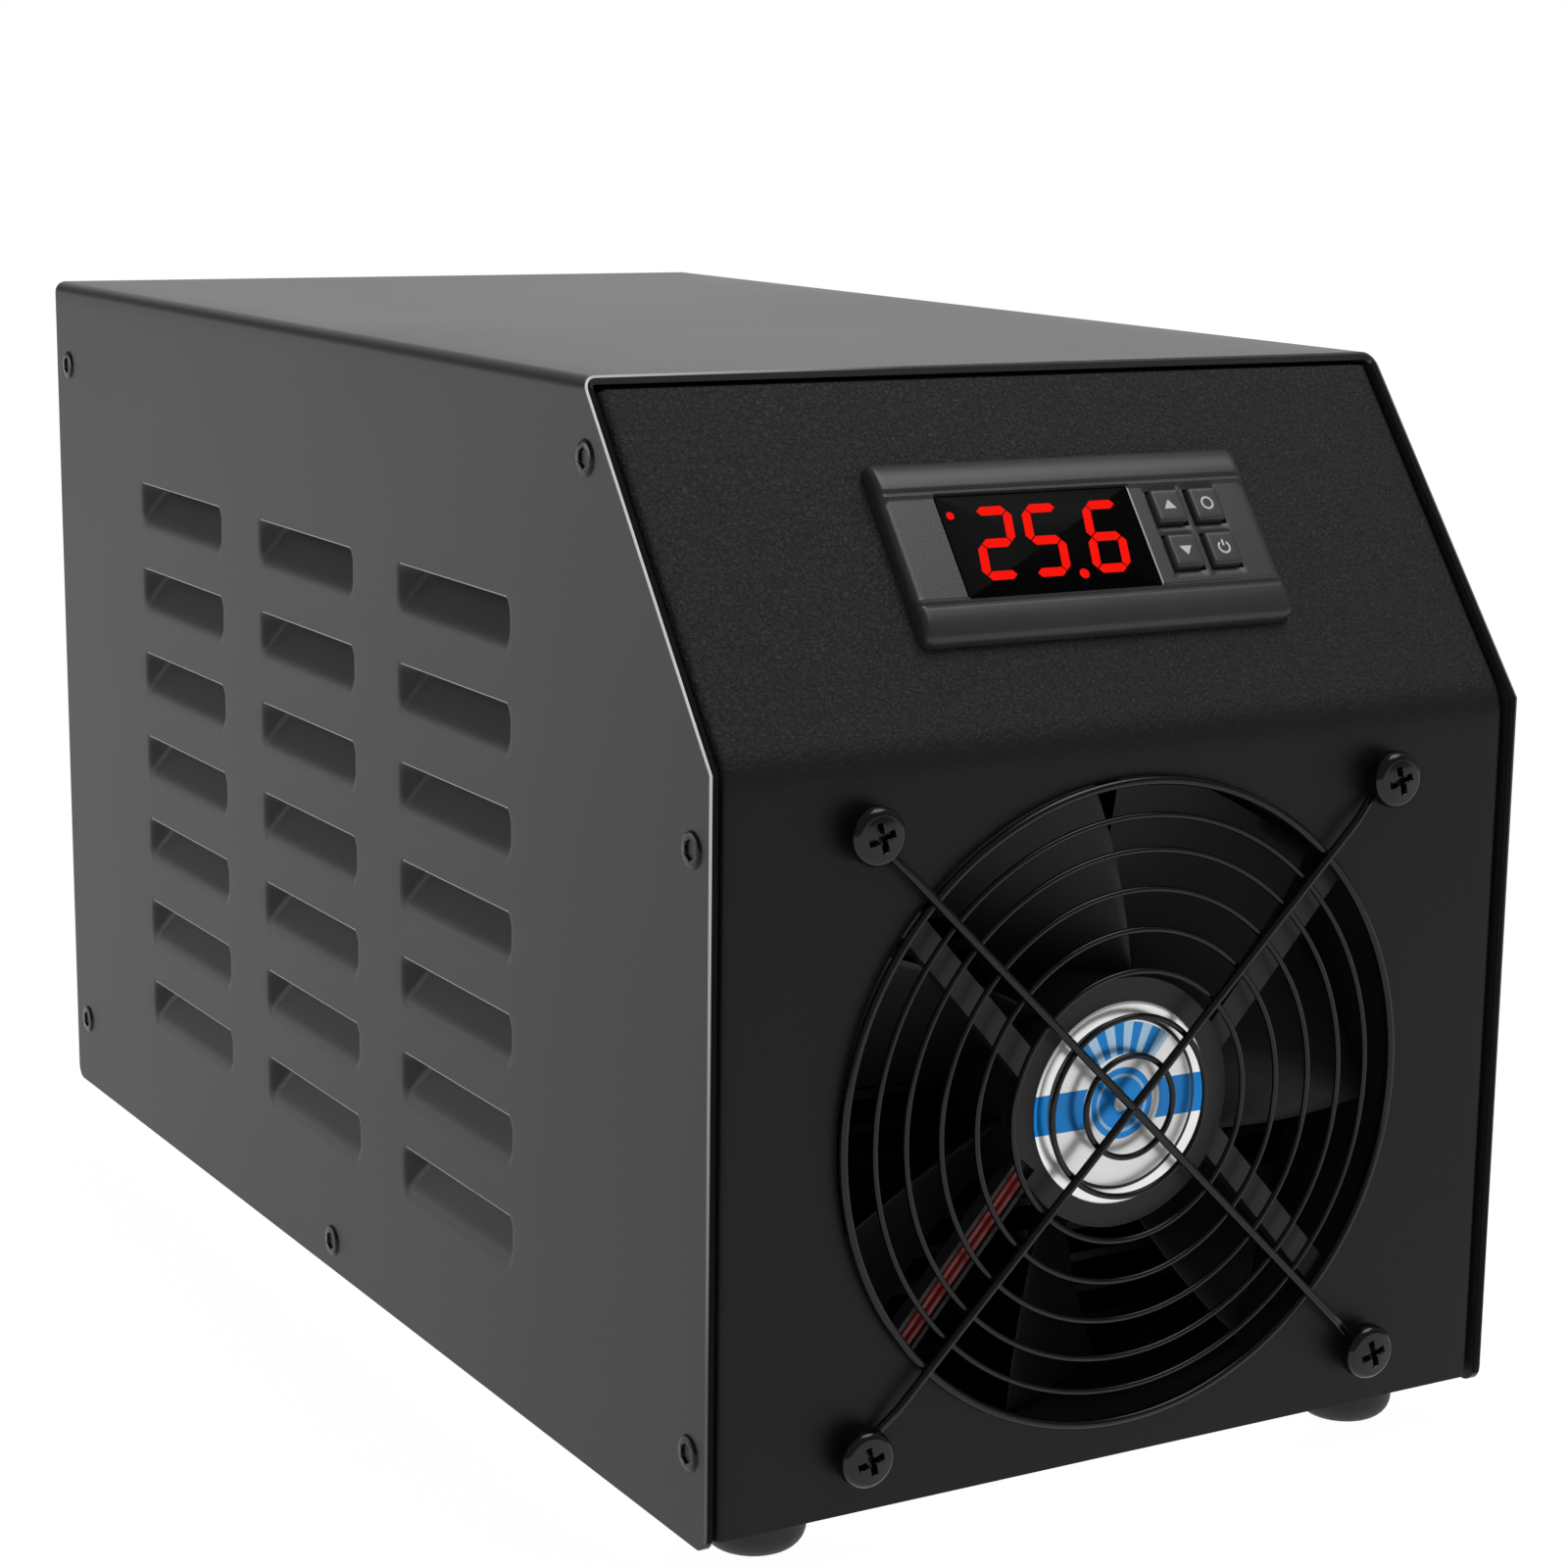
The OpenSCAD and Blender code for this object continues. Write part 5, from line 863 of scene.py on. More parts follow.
def face_path(c):
    """The face seen from the side, over the crease: the slope's lean, the height where the crease's arc
    starts, the arc's angles, its places in y and z, and where the straight slope starts and ends,
    measured up the slope."""
    lean = slope_frame(c)
    reach = c.crease * tan(lean / 2)
    a = np.linspace(0, lean, 7)
    low = c.slope_foot - reach
    arc_y = c.inset + c.crease * (1 - np.cos(a))
    arc_z = low + c.crease * np.sin(a)
    top = (c.height - c.sheet - c.gap - c.slope_foot) / cos(lean)
    return lean, low, a, arc_y, arc_z, reach, top


def stretches(marks, step):
    """Places about step apart that take in every mark."""
    return np.unique(np.round(np.concatenate([even(a, b, step) for a, b in zip(marks, marks[1:])]), 5))


def panel_skin(c, f, k):
    """The front panel's outer skin as surfaces that share their edge points: a plate round the air
    opening, whose rows go from the circle out to the rectangle in straight lines; the slope, which
    leaves out the cells behind the control face and folds back at its top; the side edges, quarter
    circles that run on into flanges, shallow at the crease; and the lip along the bottom."""
    step, cut_half_w, cut_half_h, fold, lip = 3.0, 34.5, 13.5, 9.0, 6.0
    half = c.width / 2 - c.sheet - c.gap
    flat = half - c.panel_bend
    lean, low, a, arc_y, arc_z, u0, top = face_path(c)
    cut_x = [k.place_x - cut_half_w, k.place_x + cut_half_w]
    cut_u = [k.place_u - cut_half_h, k.place_u + cut_half_h]
    xs = stretches([-flat, *cut_x, flat], step)
    zs = even(c.sill, low, step)
    ring = np.concatenate([
        np.stack([xs, np.full(len(xs), zs[0])], -1)[:-1],
        np.stack([np.full(len(zs), flat), zs], -1)[:-1],
        np.stack([xs[::-1], np.full(len(xs), zs[-1])], -1)[:-1],
        np.stack([np.full(len(zs), -flat), zs[::-1]], -1)[:-1]])
    centre = np.array([f.axis_x, f.axis_z])
    spoke = ring - centre
    circle = centre + spoke / np.linalg.norm(spoke, axis=1, keepdims=True) * f.opening
    t = np.linspace(0, 1, 9)[:, None, None]
    plate = circle[None] * (1 - t) + ring[None] * t
    flat_y = np.full(plate.shape[:2], c.inset)
    rim = np.stack([circle, circle], 0)
    out = [grid(points(plate[..., 0], flat_y, plate[..., 1]), close_cols=True, flip=True),
           grid(points(rim[..., 0], np.array([[c.inset + c.sheet], [c.inset]]), rim[..., 1]), close_cols=True,
                flip=True)]
    up = stretches([u0, *cut_u, top], step)
    path_y = np.concatenate([arc_y, c.inset + up[1:] * sin(lean)])
    path_z = np.concatenate([arc_z, c.slope_foot + up[1:] * cos(lean)])
    turn = np.concatenate([a, np.full(len(up) - 1, lean)])
    mid_x = (xs[1:] + xs[:-1]) / 2
    mid_u = np.concatenate([np.full(len(arc_y) - 1, -1.0), (up[1:] + up[:-1]) / 2])
    hole = ((mid_x[None, :] > cut_x[0]) & (mid_x[None, :] < cut_x[1])
            & (mid_u[:, None] > cut_u[0]) & (mid_u[:, None] < cut_u[1]))
    out.append(grid(points(xs[None, :], path_y[:, None], path_z[:, None]), keep=~hole))
    fold_y = path_y[-1] + np.array([0.0, 3.0, c.top_fold])
    out.append(grid(points(xs[None, :], fold_y[:, None], np.full((3, 1), path_z[-1]))))
    q = np.linspace(0, pi / 2, 6)
    depth = np.concatenate([c.panel_bend * (1 - np.cos(q)), [fold]])
    side = np.concatenate([c.panel_bend * np.sin(q), [c.panel_bend]])
    all_y = np.concatenate([np.full(len(zs) - 1, c.inset), path_y])
    all_z = np.concatenate([zs[:-1], path_z])
    all_turn = np.concatenate([np.zeros(len(zs) - 1), turn])
    shallow = np.clip(c.panel_bend + 0.4 + 0.9 * np.abs(all_z - c.slope_foot), 0, fold)
    depth = np.where(depth[None, :] == fold, shallow[:, None], depth[None, :])
    y = all_y[:, None] + depth * np.cos(all_turn)[:, None]
    z = all_z[:, None] - depth * np.sin(all_turn)[:, None]
    z = np.clip(z, c.sill, None)
    for s in (-1, 1):
        out.append(grid(points(s * (flat + side)[None, :], y, z), flip=s < 0))
    lip_y = np.array([c.inset, c.inset + 0.4, lip])
    out.append(grid(points(xs[None, :], lip_y[:, None], np.full((3, 1), c.sill)), flip=True))
    return out


class CHILLER_OT_front_panel(bpy.types.Operator):
    """Makes the front panel with its sloped face, round edges and air opening"""
    bl_idname = "chiller.front_panel"
    bl_label = "Front panel"

    def execute(self, context):
        scene = context.scene
        c, f, k = mm(scene.chiller_cabinet), mm(scene.chiller_fan), mm(scene.chiller_controller)
        # Above the slope's foot this coat carries painted light: the slope is lighter than the front, with
        # painted highlights on its grain
        coat = powder_coat("Panel coat with painted light on slope", tuple(scene.chiller_finishes.panel), 0.46, 0.03,
                           leather=(LOW + c.slope_foot) / 1000, level=0.21)
        piece("front_sheet", panel_skin(c, f, k), coat, replaces=["front_panel"],
              sharp=40)
        return {"FINISHED"}


# Fan guard and its screws

def guard_parts(f):
    """Rings of round wire in one plane, and crossed spokes in front of them. A spoke is straight, then
    sinks to the rings' plane near its end in a smooth curve and meets an eye round the screw."""
    ring_shares = (0.158, 0.28, 0.42, 0.547, 0.67, 0.79, 0.895, 1.0)
    ring_steps, eye_steps, end_steps, middle_steps = 160, 48, 14, 30
    melted_share, bend_from, straight_to = 0.62, 60, 58
    spoke_y = f.ring_y - f.thin_wire - melted_share * f.thick_wire
    parts = []
    for share in ring_shares:
        wire = f.thick_wire if share == 1.0 else f.thin_wire
        parts.append(wire_ring(f.axis_x, f.axis_z, f.ring * share, f.ring_y, wire, ring_steps))
    reach = f.pitch / sqrt(2) - f.eye
    for turn in (pi / 4, 3 * pi / 4):
        d = np.concatenate([-np.linspace(reach, bend_from, end_steps),
                            np.linspace(-straight_to, straight_to, middle_steps),
                            np.linspace(bend_from, reach, end_steps)])
        sink = smooth_step((np.abs(d) - (reach - f.sink)) / f.sink)
        path = np.stack([f.axis_x + d * cos(turn), spoke_y + (f.ring_y - spoke_y) * sink,
                         f.axis_z + d * sin(turn)], -1)
        wire = place(swept(path, f.thick_wire))
        parts += [grid(wire, close_cols=True), fan_cap(wire[0], flip=True), fan_cap(wire[-1])]
    return parts + [wire_ring(x, z, f.eye, f.ring_y, f.thick_wire, eye_steps) for x, z in screw_places(f)]


def screw_places(f):
    """The middles of the fan's four screws, as (x, z)."""
    return [(f.axis_x + sx * f.pitch / 2, f.axis_z + sz * f.pitch / 2) for sx in (-1, 1) for sz in (-1, 1)]


def wire_ring(x, z, r, y, wire, steps):
    """A ring of round wire in an upright plane at y: a circle of radius r about (x, z)."""
    a = np.arange(steps) * 2 * pi / steps
    path = np.stack([x + r * np.cos(a), np.full(steps, y), z + r * np.sin(a)], -1)
    return grid(place(swept(path, wire, closed=True)), close_rows=True, close_cols=True)


def place(p):
    """Points (x, y, z) in millimetres put into the shared frame."""
    return points(p[..., 0], p[..., 1], p[..., 2])


def head_surface(profile, recess, deep, x0, y0, z0):
    """A screw head seen from -Y: the profile's (radius, height) is turned about the Y axis, and the
    height is lowered by deep wherever the recess function, 0 to 1, says."""
    p = turned(profile, 64)
    h = p[..., 2] - deep * recess(p[..., 0], p[..., 1])
    return points(x0 + p[..., 0], y0 - h, z0 + p[..., 1])


def cross_recess(arm, wide):
    """1 inside a cross whose arms are arm long and wide across, falling to 0 over a short slope. The
    cross stands a little turned, as the driver left it."""
    turn, side_slope, end_slope = radians(18), 0.22, 0.5

    def inside(x, z):
        x, z = np.abs(cos(turn) * x + sin(turn) * z), np.abs(cos(turn) * z - sin(turn) * x)
        a = np.minimum((wide / 2 - np.minimum(x, z)) / side_slope, (arm - np.maximum(x, z)) / end_slope)
        return smooth_step(a + 0.5)
    return inside


def hex_recess(across):
    """1 inside a hexagon of the given width across its flats, with a steep wall."""
    wall_slope = 0.16

    def inside(x, z):
        far = np.max([np.abs(x * cos(k * pi / 3) + z * sin(k * pi / 3)) for k in range(3)], axis=0)
        return smooth_step((across / 2 - far) / wall_slope + 0.5)
    return inside


def pan_profile(radius, height):
    """A pan head: a low dome that turns over a round shoulder into its skirt, with rings close enough
    together in the middle to carry a recess. The skirt ends a little behind the seat."""
    middle, dome_share, fall_share, skirt_share, inward_share, behind = 0.02, 0.72, 0.2, 0.42, 0.97, 0.32
    inner = np.linspace(middle, radius * dome_share, 26)
    dome = height - fall_share * height * (inner / radius) ** 2
    a = np.linspace(0.15, pi / 2, 9)
    shoulder_r = radius * dome_share + radius * (1 - dome_share) * np.sin(a)
    shoulder_h = dome[-1] * (skirt_share + (1 - skirt_share) * np.cos(a) / cos(a[0]))
    r = np.concatenate([inner, shoulder_r, [radius, radius * inward_share]])
    h = np.concatenate([dome, shoulder_h, [0.0, -behind]])
    return list(zip(r, h))


class CHILLER_OT_guard(bpy.types.Operator):
    """Makes the wire guard over the fan and the four pan-head screws that hold it"""
    bl_idname = "chiller.guard"
    bl_label = "Fan guard"

    def execute(self, context):
        f = mm(context.scene.chiller_fan)
        gloss = tuple(context.scene.chiller_finishes.gloss)
        paint = moulded("Guard paint", gloss, 0.16, 0.006, 0.12)
        piece("guard_wires", guard_parts(f), paint, replaces=["fan_guard"], sharp=60,
              weld=1e-7)
        lacquer = moulded("Screw lacquer", gloss, 0.14, 0.004, 0.1, level=0.35)
        head, recess = pan_profile(f.screw_r, f.screw_h), cross_recess(f.cross, f.cross_w)
        heads = [grid(head_surface(head, recess, f.cross_d, x, f.screw_y, z), close_cols=True, flip=True)
                 for x, z in screw_places(f)]
        piece("guard_screws", heads, lacquer, replaces=["fan_screws"], sharp=50, weld=1e-7)
        return {"FINISHED"}


# Fan

def blade_rows(f, turn):
    """One blade. Rows run from root to tip, and each row is a closed aerofoil loop laid on a cylinder
    round the axis: a chord set at a pitch that falls towards the tip, bowed to one side, thickest
    before its middle. The last row shrinks to the chord line, which rounds the tip."""
    steps, sunk, tip_round, axis_back, bow_depth = 15, 0.8, 0.5, 14.8, 2.4
    root_pitch, pitch_fall, sweep = 47, 17, 9
    root_chord_share, root_thick_share, thick_fall_share = 0.68, 1.15, 0.35
    t = np.concatenate([np.linspace(0, 1, steps), [1.0]])
    r = f.hub - sunk + (f.tip - f.hub + sunk) * t
    r[-2] -= tip_round
    pitch = np.radians(root_pitch - pitch_fall * t)
    chord = f.chord * (root_chord_share + (1 - root_chord_share) * t)
    thick = f.blade * (root_thick_share - thick_fall_share * t)
    thick[-1] = 0.0
    lead = radians(sweep) * t
    s = (1 - np.cos(np.linspace(0, pi, steps))) / 2
    bow = 4 * s * (1 - s)
    body = 2.2 * np.sqrt(s) * (1 - s) + 0.22 * np.sqrt(np.clip(1 - s, 0, 1)) * s
    loop_s = np.concatenate([s, s[-2:0:-1]])
    side = np.concatenate([np.ones(steps), -np.ones(steps - 2)])
    camber = np.concatenate([bow, bow[-2:0:-1]]) * bow_depth
    half = np.concatenate([body, body[-2:0:-1]]) / 2 * side
    along = (loop_s - 0.5)[None, :] * chord[:, None]
    off = camber[None, :] + half[None, :] * thick[:, None]
    around = along * np.cos(pitch)[:, None] - off * np.sin(pitch)[:, None]
    back = along * np.sin(pitch)[:, None] + off * np.cos(pitch)[:, None]
    angle = turn + lead[:, None] + around / r[:, None]
    return points(f.axis_x + r[:, None] * np.cos(angle), axis_back + back,
                  f.axis_z + r[:, None] * np.sin(angle))


def cup(f, profile):
    """A surface of revolution about the fan's axis: the profile gives (radius, distance back)."""
    p = turned(profile, 96)
    return points(f.axis_x + p[..., 0], p[..., 2], f.axis_z + p[..., 1])


class CHILLER_OT_fan(bpy.types.Operator):
    """Makes the fan's blades on their cup, the label on its hub and its soft-edged housing"""
    bl_idname = "chiller.fan"
    bl_label = "Fan"

    def execute(self, context):
        f, look = mm(context.scene.chiller_fan), context.scene.chiller_finishes
        satin = moulded("Blade plastic", tuple(look.plastic), 0.36, 0.01, 0.16)
        parts = [grid(blade_rows(f, k * 2 * pi / f.blades), close_cols=True) for k in range(f.blades)]
        bore, inner, mouth, back, floor = 1.56, f.hub - 1.5, 6.1, 26.6, 25.1
        shell = [(bore, back), (f.hub - 1.2, back), (f.hub - 0.5, back - 0.3), (f.hub, back - 1.0),
                 (f.hub, mouth + 0.4), (f.hub - 0.3, mouth), (inner + 0.1, mouth), (inner, mouth + 0.3),
                 (inner, floor), (bore, floor), (bore, back)]
        parts.append(grid(cup(f, shell), close_cols=True))
        piece("fan_blades", parts, satin, body="fan_rotor", replaces=["fan_rotor"],
              sharp=50, outward=True)
        label = [(0.02, 1.78), (17.2, 1.80), (17.6, 1.84), (17.8, 1.97)]
        piece("hub_label", [grid(cup(f, label), close_cols=True)],
              fan_label_print("Label print", f, look), replaces=["fan_label"])
        dull = moulded("Housing plastic", tuple(look.plastic), 0.42, 0.012, 0.14)
        softened("fan_frame", "fan_housing", 0.35, dull, angle=35)
        return {"FINISHED"}


# Control face

def edged(a, b, step, edges, soft):
    """Places from a to b about step apart, with a pair soft apart at each edge and none close to it."""
    marks = np.concatenate([[e - soft / 2, e + soft / 2] for e in edges])
    base = even(a, b, step)
    base = base[np.min(np.abs(base[:, None] - marks[None, :]), axis=1) > step * 0.3]
    return np.unique(np.concatenate([base, marks, [a, b]]))


def box_inside(x, u, w, h):
    """1 inside a rectangle about the origin and 0 outside, straight over the strip WALL."""
    d = np.minimum(w / 2 - np.abs(x), h / 2 - np.abs(u))
    return np.clip(d / WALL + 0.5, 0, 1)


# Each key's name and its middle from the control face's middle, in millimetres
BUTTONS = (("up", 18.8, 5.1), ("down", 18.8, -3.8), ("set", 26.8, 5.1), ("power", 26.8, -3.8))

# Width in millimetres of the steep walls round the window and the keys
WALL = 0.12


def face_heights(c, k):
    """The control face as heights over the slope. Up the slope its section is a bulging band, a ridge,
    a flat and the same mirrored. It falls at both ends over a quarter circle, and is lowered inside
    the window's rim and the buttons' holes."""
    band_share, foot_share, foot, sunk, corner, end_round = 0.155, 0.28, 1.2, 0.1, 1.3, 1.1
    window_rim, hole_rim, window_deep, hole_deep = 0.15, 0.3, 0.65, 2.1
    half, band = k.height / 2, k.height * band_share
    crown = half - band
    xe = [k.window_x - k.window_w / 2 - window_rim, k.window_x + k.window_w / 2 + window_rim]
    ue = [-k.window_h / 2 - window_rim, k.window_h / 2 + window_rim]
    for _, bx, bu in BUTTONS:
        xe += [bx - k.button_w / 2 - hole_rim, bx + k.button_w / 2 + hole_rim]
        ue += [bu - k.button_h / 2 - hole_rim, bu + k.button_h / 2 + hole_rim]
    end = k.width / 2
    x = edged(-end + end_round, end - end_round, 0.8, sorted(set(xe)), WALL)
    round_x = end - end_round + end_round * np.sin(np.linspace(0, pi / 2, 7))[1:]
    x = np.concatenate([-round_x[::-1], x, round_x])
    # each step inwards from the crown: its start, the height before it, its fall and its run
    steps = ((0.5, 0.0, 0.32, 0.35), (1.2, -0.32, -0.3, 0.3), (1.9, -0.02, 0.48, 0.4))
    ridge = [crown - start for start, *_ in steps]
    u = edged(-half, half, 0.6, sorted(set(ue + ridge + [-r for r in ridge])), 0.1)
    a = np.abs(u)
    arch = foot + (k.stand - foot) * np.sqrt(np.clip(1 - ((a - crown) / band) ** 2, 0, 1))
    out = np.where(a > crown, arch, k.stand)
    for start, before, drop, run in steps:
        inwards = crown - start - a
        out = np.where(inwards > 0, k.stand + before - drop * smooth_step(inwards / run), out)
    u = np.concatenate([[-half], u, [half]])
    out = np.concatenate([[-sunk], out, [-sunk]])
    fall = np.sqrt(np.clip(1 - np.clip((np.abs(x) - (end - end_round)) / end_round, 0, 1) ** 2, 0, 1))
    over = np.clip(np.abs(u) - (half - corner), 0, corner)
    reach = (end - (corner - np.sqrt(corner ** 2 - over ** 2))) / end
    grid_x = x[None, :] * reach[:, None]
    grid_u = np.broadcast_to(u[:, None], grid_x.shape)
    heights = out[:, None] * (foot_share + (1 - foot_share) * fall[None, :])
    heights -= window_deep * box_inside(grid_x - k.window_x, grid_u, k.window_w + 2 * window_rim,
                                        k.window_h + 2 * window_rim)
    for _, bx, bu in BUTTONS:
        heights -= hole_deep * box_inside(grid_x - bx, grid_u - bu, k.button_w + 2 * hole_rim,
                                          k.button_h + 2 * hole_rim)
    lip_x = np.concatenate([[x[0]], x, [x[-1]]])
    heights = np.pad(heights, ((0, 0), (1, 1)), constant_values=-sunk)
    grid_x = lip_x[None, :] * reach[:, None]
    grid_u = np.broadcast_to(u[:, None], grid_x.shape)
    return on_slope(c, k, grid_x, heights, grid_u)


def capped_plate(c, k, x, u, w, h, r, rings):
    """A plate or cap about (x, u) on the slope: its outline, drawn in by each ring's first number at
    the ring's second number of height, and closed over the top."""
    rows = []
    for inset, out in rings:
        o = rounded_outline(w - 2 * inset, h - 2 * inset, max(r - inset, 0.05))
        rows.append(on_slope(c, k, o[:, 0] + x, np.full(len(o), out), o[:, 1] + u))
    rows = np.array(rows)
    return [grid(rows, close_cols=True, flip=True), fan_cap(rows[-1], flip=True)]


def flat_shapes(c, k, outlines, out, thick):
    """Thin raised shapes on the slope: each outline of (x, u) points is a face at height out, with
    walls down to the surface below it."""
    parts = []
    for o in outlines:
        o = np.asarray(o, dtype=float)
        top = on_slope(c, k, o[:, 0], np.full(len(o), out), o[:, 1])
        low = on_slope(c, k, o[:, 0], np.full(len(o), out - thick), o[:, 1])
        parts += [grid(np.array([low, top]), close_cols=True, flip=True), fan_cap(top, flip=True)]
    return parts


def digit_outlines(k, text, lefts, top_u):
    """Seven-segment digits. A segment is a long hexagon; the digit leans by the slant, so its points
    move to the right with their height."""
    w, h, t, gap, slant = k.digit_w, k.digit, k.bar, 0.16, radians(10)
    segments = {"2": "abged", "5": "afgcd", "6": "afgedc"}
    out = []

    def bar(x0, u0, x1, u1):
        along = np.array([x1 - x0, u1 - u0])
        size = hypot(*along)
        along = along / size
        side = np.array([-along[1], along[0]]) * t / 2
        a, b = np.array([x0, u0]) + along * gap, np.array([x1, u1]) - along * gap
        inner = along * t / 2
        return np.array([a, a + inner - side, b - inner - side, b, b - inner + side, a + inner + side])

    x0, x1, u0, um, u1 = t / 2, w - t / 2, -h + t / 2, -h / 2, -t / 2
    bars = {"a": (x0, u1, x1, u1), "b": (x1, um, x1, u1), "c": (x1, u0, x1, um), "d": (x0, u0, x1, u0),
            "e": (x0, u0, x0, um), "f": (x0, um, x0, u1), "g": (x0, um, x1, um)}
    for mark, left in zip(text, lefts):
        for s in segments[mark]:
            o = bar(*bars[s])
            o = np.stack([o[:, 0] + left + o[:, 1] * tan(slant), o[:, 1] + top_u], -1)
            out.append(o)
    return out


def disc_outline(x, u, r):
    """A circle's points."""
    a = np.arange(20) * 2 * pi / 20
    return np.stack([x + r * np.cos(a), u + r * np.sin(a)], -1)


def ribbon(c, k, x, u, start, end, out):
    """Part of a flat ring on the slope about (x, u), between two angles."""
    r, wide = 1.1, 0.4
    a = np.linspace(start, end, 24)
    rows = np.array([[r + wide / 2], [r - wide / 2]])
    return grid(on_slope(c, k, x + rows * np.cos(a), np.full((2, 24), out), u + rows * np.sin(a)))


def key_mark(c, k, name, x, u):
    """A key's plain mark: an arrowhead up or down, a ring, or a broken ring with a bar."""
    out = k.face_out + k.button_stand + 0.035
    arrow = np.array([[-1.25, -0.7], [1.25, -0.7], [0, 1.1]])
    bar = np.array([[-0.2, 0.3], [0.2, 0.3], [0.2, 1.5], [-0.2, 1.5]])
    if name == "up":
        return flat_shapes(c, k, [arrow + [x, u]], out, k.print_t)
    if name == "down":
        return flat_shapes(c, k, [arrow * [1, -1] + [x, u]], out, k.print_t)
    if name == "set":
        return [ribbon(c, k, x, u, 0, 2 * pi - 0.001, out)]
    return [ribbon(c, k, x, u, radians(125), radians(415), out)] + flat_shapes(c, k, [bar + [x, u]], out,
                                                                             k.print_t)


class CHILLER_OT_controller(bpy.types.Operator):
    """Makes the control face with its window, lit digits and four keys"""
    bl_idname = "chiller.controller"
    bl_label = "Control face"

    def execute(self, context):
        scene, look = context.scene, context.scene.chiller_finishes
        c, k = mm(scene.chiller_cabinet), mm(scene.chiller_controller)
        frame_look = moulded("Control face plastic", tuple(look.face), 0.33, 0.02, 0.12, level=0.4)
        piece("control_face", [grid(face_heights(c, k))], frame_look, replaces=["controller_bezel"],
              sharp=38, weld=1e-7)
        rings = [(0, k.pane - 0.61), (0, k.pane - 0.16), (0.05, k.pane - 0.04), (0.16, k.pane)]
        piece("display_glass", capped_plate(c, k, k.window_x, 0, k.window_w, k.window_h, 0.4, rings),
              smoked_window("Smoked window"), replaces=["display_window"], sharp=50, weld=1e-7)
        # Painted highlight: pale strips along the window's right and lower edges stand for the light its rim
        # catches there
        edge_highlight_width, rim_x, rim_u = 0.3, k.window_x + k.window_w / 2, -k.window_h / 2
        lines = [(rim_x - k.window_w, rim_u - edge_highlight_width, rim_x + edge_highlight_width, rim_u),
                 (rim_x, rim_u, rim_x + edge_highlight_width, -rim_u)]
        strips = [[(a, b), (d, b), (d, e), (a, e)] for a, b, d, e in lines]
        piece("window_edge_highlight", flat_shapes(c, k, strips, k.stand - 0.46, 0.1),
              printed_mark("Window edge highlight", (0.60, 0.61, 0.62)), smooth=False, weld=1e-7)
        lefts = [x - k.place_x for x in (-19.0, -9.1, 3.2)]
        shapes = digit_outlines(k, "256", lefts, k.digit / 2 + 0.35)
        shapes.append(disc_outline(-1.3 - k.place_x, -k.digit / 2 + 0.5, 0.95))
        shapes.append(disc_outline(-23.5 - k.place_x, 6.0, 0.75))
        piece("display_digits", flat_shapes(c, k, shapes, k.face_out, k.print_t),
              lit_segment("Lit segments", tuple(look.digits)), smooth=False, weld=1e-7)
        keys = moulded("Key plastic", tuple(look.keys), 0.30, 0.008, 0.1, coat=0.1)
        white = printed_mark("Key marks", (0.85, 0.86, 0.87))
        top = k.face_out + k.button_stand
        rings = [(0, 1.35), (0, top - 0.55), (0.05, top - 0.3), (0.17, top - 0.12), (0.38, top - 0.02),
                 (0.75, top), (1.6, top)]
        for name, x, u in BUTTONS:
            piece("key_" + name, capped_plate(c, k, x, u, k.button_w, k.button_h, 0.8, rings), keys,
                  body=name + "_key", replaces=["button_" + name], sharp=60, weld=1e-7)
            piece("mark_" + name, key_mark(c, k, name, x, u), white, body=name + "_key", smooth=False,
                  weld=1e-7)
        return {"FINISHED"}


# Small parts and the parts that keep their CAD shape

def hex_screw_profile():
    """A low button head as (radius, height): a flat with rings close enough together for the socket,
    and a quarter circle down to its seat in the sheet."""
    flat, height, edge, rings = 1.9, 0.5, 0.7, 16
    inner = np.linspace(0.02, flat, rings)
    a = np.linspace(0, pi / 2, 7)[1:]
    r = np.concatenate([inner, 2.5 + edge * np.sin(a)])
    return list(zip(r, np.concatenate([np.full(rings, height), height - edge + edge * np.cos(a)])))


def side_screw_parts(c):
    """Six socket screws in each side, each turned about the sideways axis."""
    spots = [(5.8, 15.7), (5.8, c.slope_foot - 12.8), (c.slope_run - c.sheet, c.height - 13.1),
             (c.depth / 2, 6.2), (c.depth - 8, c.height - 18.3), (c.depth - 8, 15.7)]
    socket_across, socket_deep = 3.0, 1.4
    p = turned(hex_screw_profile(), 60)
    h = p[..., 2] - socket_deep * hex_recess(socket_across)(p[..., 0], p[..., 1])
    return [grid(points(s * (c.width / 2 + h), y + p[..., 0], z + p[..., 1]), close_cols=True, flip=s > 0)
            for s in (-1, 1) for y, z in spots]


class CHILLER_OT_fasteners(bpy.types.Operator):
    """Makes the twelve black socket screws in the cover's sides"""
    bl_idname = "chiller.fasteners"
    bl_label = "Cover screws"

    def execute(self, context):
        c = mm(context.scene.chiller_cabinet)
        oxide = moulded("Black oxide", (0.003, 0.003, 0.0035), 0.2, 0.006, 0.15, level=0.22)
        piece("side_screws", side_screw_parts(c), oxide, replaces=["cover_screws"],
              sharp=50, weld=1e-7)
        return {"FINISHED"}


